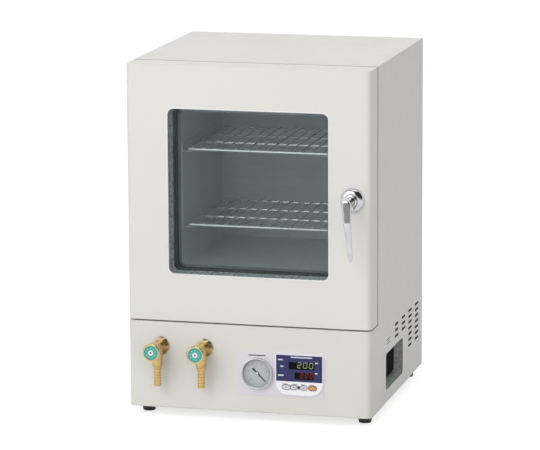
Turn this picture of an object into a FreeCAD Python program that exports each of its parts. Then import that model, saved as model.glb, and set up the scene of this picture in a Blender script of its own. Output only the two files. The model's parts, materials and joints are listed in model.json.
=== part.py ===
"""Bench-top inert gas oven: a sheet-metal cabinet round a stainless chamber, with a glazed door.

Frame: +Z up, X to the right seen from the front, the front looks along -Y.
The origin lies on the surface the feet stand on, midway between the outermost faces in depth.
All lengths are millimetres.
"""
import FreeCAD
import Part
import Sketcher
import math
import os

from FreeCAD import Rotation, Vector

# Driving dimensions, written to the spreadsheet with these names.
SIZES = {
    # Cabinet
    "sheet_wall": 1.5,
    "edge_radius": 12.0,
    "sill_height": 169.5,
    "sill_gap": 3.0,
    "corner_return": 2.0,
    "fit_gap": 0.3,
    # Feet
    "foot_height": 20.0,
    "foot_top_radius": 16.0,
    "foot_tip_radius": 12.0,
    "foot_side_inset": 24.0,
    "foot_front_inset": 55.0,
    "foot_rear_inset": 32.0,
    # Chamber and what surrounds it
    "chamber_width": 300.0,
    "chamber_height": 300.0,
    "chamber_depth": 300.0,
    "chamber_wall": 2.0,
    "chamber_corner": 10.0,
    "frame_thickness": 2.0,
    "heater_thickness": 3.0,
    "heater_margin": 30.0,
    "insulation_side": 66.0,
    "insulation_back": 76.0,
    "side_air_gap": 17.2,
    "rear_air_gap": 28.5,
    "top_air_gap": 25.2,
    "deck_rise": 30.2,
    "deck_depth_spare": 2.0,
    # Door
    "door_thickness": 58.0,
    "door_gap": 4.0,
    "window_side_spare": 7.0,
    "window_end_spare": 10.0,
    "window_corner": 12.0,
    "window_lift": 4.0,
    "trim_width": 2.5,
    "trim_depth": 4.5,
    "trim_proud": 1.0,
    "glass_margin": 9.0,
    "glass_thickness": 5.0,
    "tunnel_depth": 27.5,
    "tunnel_wall": 3.0,
    "liner_thickness": 1.5,
    "gasket_width": 14.0,
    "gasket_lap": 4.5,
    "wool_clearance": 13.0,
    # Hinges
    "hinge_height": 66.0,
    "hinge_inset": 52.0,
    "hinge_leaf_width": 30.0,
    "hinge_leaf_thickness": 2.0,
    "knuckle_radius": 4.5,
    "knuckle_offset": 4.9,
    "knuckle_gap": 0.4,
    "hinge_pin_radius": 2.5,
    "hinge_head_height": 2.5,
    "running_gap": 0.05,
    # Latch
    "handle_inset": 36.0,
    "handle_lift": 2.0,
    "escutcheon_radius": 23.3,
    "escutcheon_height": 11.0,
    "collar_radius": 11.0,
    "collar_height": 4.0,
    "neck_radius": 7.5,
    "head_radius": 9.4,
    "head_depth": 13.0,
    "lever_reach": 60.0,
    "lever_length": 108.0,
    "lever_knee": 38.0,
    "lever_knee_width": 13.6,
    "lever_knee_depth": 11.0,
    "lever_root_width": 17.0,
    "lever_tip_width": 7.0,
    "lever_tip_depth": 6.0,
    "lever_lean": 3.0,
    "lever_rest_angle": 4.6,
    "shaft_radius": 6.0,
    "bushing_radius": 10.0,
    "cam_radius": 19.0,
    "cam_thickness": 6.0,
    "cam_set_back": 4.0,
    "cam_flat_rise": 9.0,
    "keeper_size": 46.0,
    "keeper_depth": 22.0,
    # Wire shelves
    "shelf_side_space": 12.0,
    "shelf_rear_space": 17.0,
    "shelf_front_space": 11.0,
    "shelf_rod_radius": 2.5,
    "shelf_wire_radius": 1.5,
    "shelf_wires": 13,
    "shelf_rods": 4,
    "shelf_spacing": 148.0,
    "weld_sink": 0.4,
    "rail_plate_height": 170.0,
    "rail_rear_space": 15.0,
    "rail_front_space": 9.0,
    "rail_thickness": 1.5,
    "rail_ledge": 20.0,
    # Gas valves
    "valve_left_x": -175.5,
    "valve_right_x": -88.0,
    "valve_rise": 122.8,
    "knob_reach": 68.0,
    "knob_radius": 17.5,
    "knob_thickness": 12.0,
    "knob_flutes": 20,
    "flute_radius": 1.3,
    "badge_radius": 13.6,
    "badge_thickness": 1.2,
    "valve_flange_radius": 18.0,
    "valve_flange_thickness": 3.0,
    "valve_stud_radius": 7.0,
    "valve_stud_length": 24.0,
    "valve_nut_flats": 22.0,
    "valve_nut_thickness": 6.0,
    "valve_hex_flats": 24.0,
    "valve_hex_length": 9.0,
    "barrel_radius": 10.0,
    "bonnet_flats": 19.0,
    "bonnet_length": 8.0,
    "stem_radius": 4.0,
    "stem_depth": 14.0,
    "outlet_set_out": 24.0,
    "outlet_radius": 10.3,
    "outlet_taper_start": 31.0,
    "outlet_taper_end": 39.0,
    "outlet_neck_radius": 8.2,
    "barb_length": 35.0,
    "barb_teeth": 6,
    "barb_radius": 7.3,
    "barb_root_radius": 6.4,
    "barb_bore_radius": 3.5,
    # Pressure gauge
    "gauge_x": 17.6,
    "gauge_rise": 79.0,
    "gauge_radius": 30.2,
    "gauge_body_radius": 27.5,
    "gauge_inner_radius": 26.0,
    "gauge_proud": 10.0,
    "gauge_body_depth": 30.0,
    "gauge_wall": 1.5,
    "gauge_rim": 1.3,
    "dial_radius": 28.2,
    "dial_thickness": 1.0,
    "dial_set_back": 8.0,
    "gauge_glass_thickness": 2.0,
    "pointer_length": 23.5,
    "pointer_tail": 13.0,
    "pointer_width": 2.2,
    "pointer_thickness": 0.8,
    "pointer_hub_radius": 2.6,
    "pointer_hub_height": 1.8,
    "pointer_pin_radius": 0.8,
    "pointer_rest_angle": 45.0,
    "gauge_stem_radius": 6.0,
    "gauge_stem_length": 14.0,
    # Control panel
    "label_x": 63.0,
    "label_rise": 77.25,
    "label_width": 171.0,
    "label_height": 84.5,
    "label_thickness": 1.0,
    "control_x": 100.2,
    "control_top_rise": 119.5,
    "control_width": 95.0,
    "control_height": 80.5,
    "control_corner": 3.0,
    "control_bottom_corner": 25.0,
    "control_thickness": 2.0,
    "housing_side_margin": 12.0,
    "housing_end_margin": 5.25,
    "housing_depth": 62.0,
    "display_upper_x": 4.6,
    "display_upper_width": 50.5,
    "display_upper_height": 14.5,
    "display_upper_drop": 22.5,
    "display_lower_x": 9.8,
    "display_lower_width": 37.5,
    "display_lower_height": 13.5,
    "display_lower_drop": 42.0,
    "display_thickness": 1.0,
    "key_drop": 65.0,
    "key_height": 7.5,
    "key_wide": 14.6,
    "key_narrow": 12.4,
    "key_one_x": -25.6,
    "key_two_x": -10.5,
    "key_three_x": 8.7,
    "key_four_x": 26.3,
    "key_proud": 1.2,
    "key_sunk": 3.5,
    "key_travel": 0.8,
    # Side vents
    "slot_length": 32.0,
    "slot_height": 5.0,
    "slot_top_rise": 136.5,
    "slot_row_pitch": 11.8,
    "slot_rows": 7,
    "slot_short_rows": 3,
    "slot_first_set_back": 229.0,
    "slot_column_pitch": 63.2,
    # Side recess with the circuit breaker
    "recess_set_back": 132.5,
    "recess_length": 153.0,
    "recess_rise": 24.5,
    "recess_height": 72.0,
    "recess_corner": 7.0,
    "recess_depth": 27.0,
    "cover_set_back": 66.0,
    "cover_thickness": 12.0,
    "cover_bow_radius": 46.0,
    "breaker_set_back": 5.0,
    "breaker_length": 55.0,
    "breaker_height": 45.0,
    "breaker_lift": 19.0,
    "breaker_proud": 8.0,
    "breaker_depth": 50.0,
    "toggle_width": 12.0,
    "toggle_slot_length": 26.0,
    "toggle_slot_depth": 16.0,
    "toggle_tilt": 20.0,
    "toggle_reach": 8.0,
    "toggle_thickness": 7.0,
    "toggle_boss_radius": 6.0,
    # Rear
    "gland_x": -150.0,
    "gland_rise": 42.0,
    "gland_flats": 24.0,
    "gland_nut_length": 8.0,
    "gland_dome_radius": 10.0,
    "gland_length": 24.0,
    "gland_thread_radius": 9.9,
    "gland_thread_length": 10.0,
    "gland_bore_radius": 5.0,
    "spacer_length": 30.0,
    "spacer_radius": 6.0,
    "spacer_side_inset": 12.0,
    "spacer_rise": 265.0,
    "rear_slot_length": 60.0,
    "rear_slot_rows": 6,
    "rear_slot_rise": 150.0,
    "rear_slot_x": 120.0,
    # Pipes, sensor and relay
    "pipe_radius": 4.0,
    "pipe_bend": 18.0,
    "pipe_run_back": 13.0,
    "inlet_port_inset": 30.0,
    "port_low_inset": 50.0,
    "outlet_port_x": -30.0,
    "port_high_inset": 50.0,
    "gauge_port_inset": 35.0,
    "port_radius": 3.0,
    "port_clearance": 2.0,
    "sensor_side_inset": 32.0,
    "sensor_top_inset": 38.0,
    "sensor_radius": 3.0,
    "sensor_reach": 45.0,
    "sensor_head_radius": 8.0,
    "sensor_head_length": 12.0,
    "relay_x": -60.0,
    "relay_set_back": 300.0,
    "relay_width": 90.0,
    "relay_depth": 80.0,
    "relay_base": 8.0,
    "relay_fin_height": 34.0,
    "relay_fin_thickness": 2.5,
    "relay_fins": 8,
}

DOC = FreeCAD.newDocument("inert_gas_oven")
NODES = []

# Places that several pieces share, as expressions on the sheet.
HEATER_SHELL = "(dims.chamber_wall + dims.heater_thickness + dims.fit_gap)"
WOOL_REACH = f"({HEATER_SHELL} + dims.insulation_side)"
SIDE_BUILD = f"({WOOL_REACH} + dims.side_air_gap + dims.sheet_wall)"
BODY_WIDTH = f"(dims.chamber_width + 2 * {SIDE_BUILD})"
BODY_DEPTH = (
    "(dims.door_thickness + dims.door_gap + dims.frame_thickness + dims.chamber_depth"
    " + dims.chamber_wall + dims.insulation_back + dims.rear_air_gap + dims.sheet_wall)"
)
BODY_HEIGHT = (
    f"(dims.sill_height + dims.deck_rise + dims.chamber_height + 2 * {WOOL_REACH}"
    " + dims.top_air_gap + dims.sheet_wall)"
)
FRONT = f"((dims.knob_reach - dims.spacer_length - {BODY_DEPTH}) / 2)"
BACK = f"({FRONT} + {BODY_DEPTH})"
CASE_FRONT = f"({FRONT} + dims.door_thickness + dims.door_gap)"
BOTTOM = "dims.foot_height"
TOP = f"(dims.foot_height + {BODY_HEIGHT})"
HALF_WIDTH = f"({BODY_WIDTH} / 2)"
INNER_WIDTH = f"({BODY_WIDTH} - 2 * dims.sheet_wall)"
HANDLE_X = f"({HALF_WIDTH} - dims.handle_inset)"
SILL_TOP = "(dims.foot_height + dims.sill_height)"
DOOR_BOTTOM = f"({SILL_TOP} + dims.sill_gap)"
DOOR_HEIGHT = f"({TOP} - {DOOR_BOTTOM})"
DOOR_MIDDLE = f"({DOOR_BOTTOM} + {DOOR_HEIGHT} / 2)"
LATCH_HEIGHT = f"({DOOR_MIDDLE} + dims.handle_lift)"
WOOL_BOTTOM = f"({SILL_TOP} + dims.deck_rise)"
CHAMBER_MIDDLE = f"({WOOL_BOTTOM} + {WOOL_REACH} + dims.chamber_height / 2)"
CHAMBER_MOUTH = f"({CASE_FRONT} + dims.frame_thickness)"
CHAMBER_BACK = f"({CHAMBER_MOUTH} + dims.chamber_depth)"
CHAMBER_BACK_OUTSIDE = f"({CHAMBER_BACK} + dims.chamber_wall)"
WINDOW_MIDDLE = f"({CHAMBER_MIDDLE} + dims.window_lift)"
WOOL_BACK = f"({CHAMBER_BACK_OUTSIDE} + dims.insulation_back)"
VALVE_HEIGHT = "(dims.foot_height + dims.valve_rise)"
GAUGE_HEIGHT = "(dims.foot_height + dims.gauge_rise)"
LABEL_HEIGHT = "(dims.foot_height + dims.label_rise)"
LABEL_FACE = f"({FRONT} - dims.label_thickness)"
CONTROL_TOP = "(dims.foot_height + dims.control_top_rise)"
CONTROL_FACE = f"({LABEL_FACE} - dims.control_thickness)"
HOUSING_WIDTH = "(dims.control_width - 2 * dims.housing_side_margin)"
HOUSING_HEIGHT = "(dims.control_height - 2 * dims.housing_end_margin)"
RECESS_FRONT = f"({FRONT} + dims.recess_set_back)"
RECESS_FLOOR = "(dims.foot_height + dims.recess_rise)"
RECESS_MOUTH = f"({HALF_WIDTH} - dims.sheet_wall)"
RECESS_WALL_FACE = f"({RECESS_MOUTH} - dims.recess_depth)"
HINGE_X = f"(-{HALF_WIDTH} - dims.knuckle_offset)"
HINGE_Y = f"({FRONT} + dims.door_thickness + dims.door_gap / 2)"
PIPE_LANE = f"({WOOL_BACK} + dims.pipe_run_back)"

# Profiles, as shares of a piece's height (or length) and of its radius.
DOME_PROFILE = ((0.2, 1.0), (0.5, 0.94), (0.78, 0.82), (0.94, 0.67), (1.0, 0.55))
HEAD_PROFILE = ((0.12, 0.94), (0.3, 1.0), (0.7, 1.0), (0.88, 0.9), (1.0, 0.6))
NECK_TAPER = 0.9
ARM_SHARE = 0.92
KNOB_PROFILE = ((0.0, 0.8), (0.25, 1.0), (0.85, 1.0), (1.0, 0.92))
GLAND_PROFILE = ((0.7, 1.0), (1.0, 0.72))
BARB_SHOULDER = 0.3
SOFT_CORNER = 0.4
BARREL_TAPER = 0.85
WORKS_SHARE = 0.4
POINTER_TAPER = (1.5, 1.0, 0.3)
# The controller's lower corners, as shares of the bevel across and up.
BEVEL_PROFILE = ((0.0, 1.0), (0.1, 0.66), (0.28, 0.34), (0.56, 0.11), (1.0, 0.0))
BEVEL_SPARE = 0.1
WIRE_SIDES = 10

# Keys from left to right: label, place and width, each named in the sheet.
KEYS = (
    ("key_one", "dims.key_one_x", "dims.key_wide"),
    ("key_two", "dims.key_two_x", "dims.key_narrow"),
    ("key_three", "dims.key_three_x", "dims.key_narrow"),
    ("key_four", "dims.key_four_x", "dims.key_wide"),
)

# Pipe ports in the chamber's back wall: place across and height.
CHAMBER_SIDE = "(dims.chamber_width / 2)"
LOW_PORT = f"({CHAMBER_MIDDLE} - dims.chamber_height / 2 + dims.port_low_inset)"
HIGH_PORT = f"({CHAMBER_MIDDLE} + dims.chamber_height / 2 - dims.port_high_inset)"
PORTS = (
    (f"-({CHAMBER_SIDE} - dims.inlet_port_inset)", LOW_PORT),
    ("dims.outlet_port_x", HIGH_PORT),
    (f"({CHAMBER_SIDE} - dims.gauge_port_inset)", LOW_PORT),
)
SENSOR_PLACE = (
    f"({CHAMBER_SIDE} - dims.sensor_side_inset)",
    f"({CHAMBER_MIDDLE} + dims.chamber_height / 2 - dims.sensor_top_inset)",
)


# Sheet

def make_sheet():
    """Write each driving dimension to its own cell, with its name as alias."""
    sheet = DOC.addObject("Spreadsheet::Sheet", "dims")
    for row, (name, value) in enumerate(SIZES.items(), start=1):
        sheet.set(f"A{row}", name)
        sheet.set(f"B{row}", str(value))
        sheet.setAlias(f"B{row}", name)
    DOC.recompute()
    return sheet


SHEET = make_sheet()


def number(expression):
    """The present value of an expression on the sheet."""
    return float(SHEET.evalExpression(str(expression)))


# Placing and keeping

def put(obj, x="0", y="0", z="0"):
    """Bind an object's place to three expressions."""
    for axis, text in zip("xyz", (x, y, z)):
        obj.setExpression(f"Placement.Base.{axis}", str(text))
    return obj


def keep(obj, label):
    """Name an object as a finished sub-part."""
    obj.Label = label
    NODES.append(obj)
    return obj


# Sketch helpers

def new_body(name):
    """An empty body."""
    return DOC.addObject("PartDesign::Body", name)


def sketch(body, role, name, offset="0"):
    """A sketch on one of the body's origin planes, moved along its normal by offset."""
    drawing = body.newObject("Sketcher::SketchObject", f"{body.Name}_{name}")
    plane = next(item for item in body.Origin.OriginFeatures if item.Role == role)
    drawing.AttachmentSupport = (plane, [""])
    drawing.MapMode = "FlatFace"
    if offset != "0":
        drawing.setExpression("AttachmentOffset.Base.z", offset)
    return drawing


def drive(drawing, kind, *where, value):
    """Add a dimension to a sketch and bind it to an expression."""
    index = drawing.addConstraint(Sketcher.Constraint(kind, *where, number(value)))
    drawing.setExpression(f"Constraints[{index}]", str(value))


def pin_point(drawing, geometry, position, x, y):
    """Fix one point of a sketch by its signed distances from the origin."""
    if number(x) == 0.0 and str(x) == "0":
        drawing.addConstraint(Sketcher.Constraint("PointOnObject", geometry, position, -2))
    else:
        drive(drawing, "DistanceX", -1, 1, geometry, position, value=x)
    if number(y) == 0.0 and str(y) == "0":
        drawing.addConstraint(Sketcher.Constraint("PointOnObject", geometry, position, -1))
    else:
        drive(drawing, "DistanceY", -1, 1, geometry, position, value=y)


def circle(drawing, radius, x="0", y="0"):
    """A circle about a given centre."""
    centre = Vector(number(x), number(y), 0)
    index = drawing.addGeometry(Part.Circle(centre, Vector(0, 0, 1), number(radius)))
    drive(drawing, "Radius", index, value=radius)
    pin_point(drawing, index, 3, x, y)


def corner_arc(centre_x, centre_y, radius, start_degrees):
    """A quarter circle that starts at the given angle."""
    round_corner = Part.Circle(Vector(centre_x, centre_y, 0), Vector(0, 0, 1), radius)
    start = math.radians(start_degrees)
    return Part.ArcOfCircle(round_corner, start, start + math.pi / 2)


def straight(x_from, y_from, x_to, y_to):
    """A straight edge between two points of a sketch."""
    return Part.LineSegment(Vector(x_from, y_from, 0), Vector(x_to, y_to, 0))


def rounded_rectangle(drawing, width, height, radius, x="0", y="0"):
    """A rectangle with four equal round corners, about a given centre."""
    middle_x, middle_y = number(x), number(y)
    half_w, half_h, corner = number(width) / 2, number(height) / 2, number(radius)
    left, right = middle_x - half_w, middle_x + half_w
    low, high = middle_y - half_h, middle_y + half_h
    bottom = drawing.addGeometry(straight(left + corner, low, right - corner, low))
    side_right = drawing.addGeometry(straight(right, low + corner, right, high - corner))
    top = drawing.addGeometry(straight(right - corner, high, left + corner, high))
    side_left = drawing.addGeometry(straight(left, high - corner, left, low + corner))
    arcs = [
        drawing.addGeometry(corner_arc(right - corner, low + corner, corner, -90)),
        drawing.addGeometry(corner_arc(right - corner, high - corner, corner, 0)),
        drawing.addGeometry(corner_arc(left + corner, high - corner, corner, 90)),
        drawing.addGeometry(corner_arc(left + corner, low + corner, corner, 180)),
    ]
    loop = (bottom, arcs[0], side_right, arcs[1], top, arcs[2], side_left, arcs[3])
    for place, item in enumerate(loop):
        following = loop[(place + 1) % len(loop)]
        drawing.addConstraint(Sketcher.Constraint("Tangent", item, 2, following, 1))
    drawing.addConstraint(Sketcher.Constraint("Horizontal", bottom))
    drawing.addConstraint(Sketcher.Constraint("Horizontal", top))
    drawing.addConstraint(Sketcher.Constraint("Vertical", side_left))
    drawing.addConstraint(Sketcher.Constraint("Vertical", side_right))
    for arc in arcs[1:]:
        drawing.addConstraint(Sketcher.Constraint("Equal", arcs[0], arc))
    drive(drawing, "Radius", arcs[0], value=radius)
    drive(drawing, "DistanceX", side_left, 1, side_right, 1, value=width)
    drive(drawing, "DistanceY", bottom, 1, top, 1, value=height)
    centre = drawing.addGeometry(Part.Point(Vector(middle_x, middle_y, 0)), True)
    drawing.addConstraint(Sketcher.Constraint("Symmetric", bottom, 1, top, 1, centre, 1))
    pin_point(drawing, centre, 1, x, y)


def slot(drawing, length, height, x="0", y="0"):
    """A slot with round ends, lying along the sketch's first axis."""
    middle_x, middle_y = number(x), number(y)
    radius = number(height) / 2
    run = number(length) / 2 - radius
    low, high = middle_y - radius, middle_y + radius
    bottom = drawing.addGeometry(straight(middle_x - run, low, middle_x + run, low))
    top = drawing.addGeometry(straight(middle_x + run, high, middle_x - run, high))
    right_end = Part.Circle(Vector(middle_x + run, middle_y, 0), Vector(0, 0, 1), radius)
    left_end = Part.Circle(Vector(middle_x - run, middle_y, 0), Vector(0, 0, 1), radius)
    right = drawing.addGeometry(Part.ArcOfCircle(right_end, -math.pi / 2, math.pi / 2))
    left = drawing.addGeometry(Part.ArcOfCircle(left_end, math.pi / 2, 3 * math.pi / 2))
    loop = (bottom, right, top, left)
    for place, item in enumerate(loop):
        following = loop[(place + 1) % len(loop)]
        drawing.addConstraint(Sketcher.Constraint("Tangent", item, 2, following, 1))
    drawing.addConstraint(Sketcher.Constraint("Horizontal", bottom))
    drive(drawing, "Radius", right, value=f"{height} / 2")
    drive(drawing, "DistanceX", left, 3, right, 3, value=f"{length} - {height}")
    pin_point(drawing, right, 3, f"{x} + ({length} - {height}) / 2", y)


def outline(drawing, points):
    """A closed outline of straight edges through points given as expression pairs."""
    values = [(number(x), number(y)) for x, y in points]
    edges = []
    for place, start in enumerate(values):
        end = values[(place + 1) % len(values)]
        edges.append(drawing.addGeometry(straight(*start, *end)))
    for place, edge in enumerate(edges):
        following = edges[(place + 1) % len(edges)]
        drawing.addConstraint(Sketcher.Constraint("Coincident", edge, 2, following, 1))
    for edge, (x, y) in zip(edges, points):
        pin_point(drawing, edge, 1, x, y)


def front_rounded(drawing, width, depth, radius, front="0"):
    """A plan outline with two round corners at the front and square ones at the back."""
    half, start, end = number(width) / 2, number(front), number(depth)
    corner = number(radius)
    front_edge = drawing.addGeometry(straight(-half + corner, start, half - corner, start))
    right_arc = drawing.addGeometry(corner_arc(half - corner, start + corner, corner, -90))
    right = drawing.addGeometry(straight(half, start + corner, half, end))
    rear = drawing.addGeometry(straight(half, end, -half, end))
    left = drawing.addGeometry(straight(-half, end, -half, start + corner))
    left_arc = drawing.addGeometry(corner_arc(-half + corner, start + corner, corner, 180))
    for first, second in ((front_edge, right_arc), (right_arc, right)):
        drawing.addConstraint(Sketcher.Constraint("Tangent", first, 2, second, 1))
    for first, second in ((left, left_arc), (left_arc, front_edge)):
        drawing.addConstraint(Sketcher.Constraint("Tangent", first, 2, second, 1))
    drawing.addConstraint(Sketcher.Constraint("Coincident", right, 2, rear, 1))
    drawing.addConstraint(Sketcher.Constraint("Coincident", rear, 2, left, 1))
    drawing.addConstraint(Sketcher.Constraint("Horizontal", front_edge))
    drawing.addConstraint(Sketcher.Constraint("Vertical", right))
    drawing.addConstraint(Sketcher.Constraint("Vertical", left))
    drawing.addConstraint(Sketcher.Constraint("Equal", right_arc, left_arc))
    drive(drawing, "Radius", right_arc, value=radius)
    pin_point(drawing, right, 2, f"({width}) / 2", depth)
    pin_point(drawing, rear, 2, f"-({width}) / 2", depth)
    drive(drawing, "DistanceY", front_edge, 1, rear, 1, value=f"({depth}) - ({front})")


# Feature helpers

def pad(body, drawing, length, backwards=False):
    """Raise a sketch along its normal, or against it."""
    feature = body.newObject("PartDesign::Pad", f"{drawing.Name}_pad")
    feature.Profile = drawing
    feature.Reversed = backwards
    feature.setExpression("Length", str(length))
    drawing.Visibility = False
    DOC.recompute()
    return feature


def pocket(body, drawing, length, backwards=False):
    """Cut a sketch against its normal, or along it, and make sure that it removes material."""
    before = body.Shape.Volume
    feature = body.newObject("PartDesign::Pocket", f"{drawing.Name}_pocket")
    feature.Profile = drawing
    feature.Reversed = backwards
    feature.setExpression("Length", str(length))
    drawing.Visibility = False
    DOC.recompute()
    if body.Shape.Volume >= before:
        raise RuntimeError(f"{feature.Name} removes nothing")
    return feature


def turn(body, drawing, axis):
    """A full revolution of a sketch about one of its own axes."""
    feature = body.newObject("PartDesign::Revolution", f"{drawing.Name}_turned")
    feature.Profile = drawing
    feature.ReferenceAxis = (drawing, [axis])
    feature.Angle = 360.0
    drawing.Visibility = False
    DOC.recompute()
    return feature


def repeat(body, feature, drawing, axis, length, count, backwards=False):
    """Repeat a feature in a row over a given whole length."""
    row = body.newObject("PartDesign::LinearPattern", f"{feature.Name}_row")
    row.Originals = [feature]
    row.Direction = (drawing, [axis])
    row.Reversed = backwards
    row.setExpression("Length", str(length))
    row.setExpression("Occurrences", str(count))
    body.Tip = row
    DOC.recompute()
    return row


def box(name, length, width, height, x="0", y="0", z="0"):
    """A block with its low corner at the given place."""
    block = DOC.addObject("Part::Box", name)
    for side, text in zip(("Length", "Width", "Height"), (length, width, height)):
        block.setExpression(side, str(text))
    return put(block, x, y, z)


def cylinder(name, radius, height, x="0", y="0", z="0", along="z"):
    """A round bar that starts at the given place and runs along +X, +Y or +Z."""
    bar = DOC.addObject("Part::Cylinder", name)
    bar.setExpression("Radius", str(radius))
    bar.setExpression("Height", str(height))
    turns = {
        "x": Rotation(Vector(0, 1, 0), 90),
        "y": Rotation(Vector(1, 0, 0), -90),
        "z": Rotation(),
    }
    bar.Placement = FreeCAD.Placement(Vector(), turns[along])
    return put(bar, x, y, z)


def fuse(name, pieces):
    """One solid from several."""
    joined = DOC.addObject("Part::MultiFuse", name)
    joined.Shapes = pieces
    return joined


def cut(name, base, tools):
    """A solid less one or more others."""
    tool = tools[0] if len(tools) == 1 else fuse(f"{name}_tools", tools)
    result = DOC.addObject("Part::Cut", name)
    result.Base = base
    result.Tool = tool
    return result


def group(name, pieces):
    """Separate solids that share one sub-part."""
    together = DOC.addObject("Part::Compound", name)
    together.Links = pieces
    return together


def ring(label, outer, inner, depth, y):
    """A flat frame round the window: outer and inner are (width, height, corner)."""
    body = new_body(label)
    drawing = sketch(body, "XZ_Plane", "outline")
    rounded_rectangle(drawing, *outer)
    rounded_rectangle(drawing, *inner)
    pad(body, drawing, depth, backwards=True)
    put(body, "0", y, WINDOW_MIDDLE)
    return keep(body, label)


def pane(label, width, height, corner, depth, y):
    """A flat pane behind the window."""
    body = new_body(label)
    drawing = sketch(body, "XZ_Plane", "outline")
    rounded_rectangle(drawing, width, height, corner)
    pad(body, drawing, depth, backwards=True)
    put(body, "0", y, WINDOW_MIDDLE)
    return keep(body, label)


def hexagon(drawing, across_flats):
    """A hexagon about the sketch's origin, with two level sides."""
    corner = f"{across_flats} / sqrt(3)"
    points = []
    for turn_degrees in range(0, 360, 60):
        cosine = round(math.cos(math.radians(turn_degrees)), 12)
        sine = round(math.sin(math.radians(turn_degrees)), 12)
        x = f"{corner} * {cosine}"
        y = f"{corner} * {sine}" if sine else "0"
        points.append((x, y))
    outline(drawing, points)


def at_chamber(height):
    """A height measured from the chamber's middle."""
    return f"({height} - {CHAMBER_MIDDLE})"


# Cabinet

def side_panel(label, sign, x):
    """An L-shaped side sheet that reaches the front below the door and stops behind it above."""
    body = new_body(label)
    front = "dims.edge_radius + dims.corner_return"
    step = "dims.door_thickness + dims.door_gap"
    rear = f"{BODY_DEPTH} - dims.sheet_wall"
    floor = "dims.sheet_wall"
    ledge = "dims.sill_height - dims.sheet_wall"
    roof = f"{BODY_HEIGHT} - dims.sheet_wall"
    drawing = sketch(body, "YZ_Plane", "outline")
    outline(drawing, (
        (front, floor), (rear, floor), (rear, roof), (step, roof), (step, ledge), (front, ledge),
    ))
    pad(body, drawing, "dims.sheet_wall")
    first_column = 0 if sign > 0 else 2
    for column in range(first_column, 4):
        rows = "dims.slot_rows" if column > 1 else "dims.slot_short_rows"
        vents = sketch(body, "YZ_Plane", f"vents_{column}", "dims.sheet_wall")
        place = f"dims.slot_first_set_back + {column} * dims.slot_column_pitch"
        slot(vents, "dims.slot_length", "dims.slot_height", place, "dims.slot_top_rise")
        opening = pocket(body, vents, "2 * dims.sheet_wall")
        span = f"({rows} - 1) * dims.slot_row_pitch"
        repeat(body, opening, vents, "V_Axis", span, rows, backwards=True)
    if sign > 0:
        hatch = sketch(body, "YZ_Plane", "hatch", "dims.sheet_wall")
        rounded_rectangle(
            hatch, "dims.recess_length", "dims.recess_height", "dims.recess_corner",
            "dims.recess_set_back + dims.recess_length / 2",
            "dims.recess_rise + dims.recess_height / 2",
        )
        pocket(body, hatch, "2 * dims.sheet_wall")
    put(body, x, FRONT, BOTTOM)
    return keep(body, label)


def front_panel():
    """The lower front sheet, bent round both vertical edges and folded back below the door."""
    body = new_body("front_panel")
    plan = sketch(body, "XY_Plane", "plan", "dims.sheet_wall")
    reach = "dims.edge_radius + dims.corner_return"
    front_rounded(plan, BODY_WIDTH, reach, "dims.edge_radius")
    height = "dims.sill_height - 2 * dims.sheet_wall"
    pad(body, plan, height)
    hollow = sketch(body, "XY_Plane", "hollow", "dims.sheet_wall")
    front_rounded(
        hollow, INNER_WIDTH, reach, "dims.edge_radius - dims.sheet_wall", "dims.sheet_wall",
    )
    pocket(body, hollow, height, backwards=True)
    ledge = sketch(body, "XY_Plane", "ledge", "dims.sill_height - dims.sheet_wall")
    front_rounded(
        ledge, BODY_WIDTH, "dims.door_thickness + dims.door_gap", "dims.edge_radius",
    )
    pad(body, ledge, "dims.sheet_wall")
    holes = sketch(body, "XZ_Plane", "holes")
    circle(holes, "dims.gauge_body_radius + dims.fit_gap", "dims.gauge_x", "dims.gauge_rise")
    stud_hole = "dims.valve_stud_radius + dims.fit_gap"
    circle(holes, stud_hole, "dims.valve_left_x", "dims.valve_rise")
    circle(holes, stud_hole, "dims.valve_right_x", "dims.valve_rise")
    rounded_rectangle(
        holes, f"{HOUSING_WIDTH} + 2 * dims.fit_gap", f"{HOUSING_HEIGHT} + 2 * dims.fit_gap",
        "dims.control_corner", "dims.control_x", "dims.control_top_rise - dims.control_height / 2",
    )
    pocket(body, holes, "2 * dims.sheet_wall")
    put(body, "0", FRONT, BOTTOM)
    keep(body, "front_panel")


def base_plate():
    """The floor sheet, with the front panel's round corners."""
    body = new_body("base_plate")
    plan = sketch(body, "XY_Plane", "plan")
    front_rounded(plan, BODY_WIDTH, BODY_DEPTH, "dims.edge_radius")
    pad(body, plan, "dims.sheet_wall")
    put(body, "0", FRONT, BOTTOM)
    keep(body, "base_plate")


def top_cover():
    """The roof sheet, from behind the door to the rear edge."""
    body = new_body("top_cover")
    plan = sketch(body, "XY_Plane", "plan")
    depth = f"{BODY_DEPTH} - dims.door_thickness - dims.door_gap"
    outline(plan, (
        (f"-{HALF_WIDTH}", "0"), (HALF_WIDTH, "0"), (HALF_WIDTH, depth), (f"-{HALF_WIDTH}", depth),
    ))
    pad(body, plan, "dims.sheet_wall")
    put(body, "0", CASE_FRONT, f"{TOP} - dims.sheet_wall")
    keep(body, "top_cover")


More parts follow.
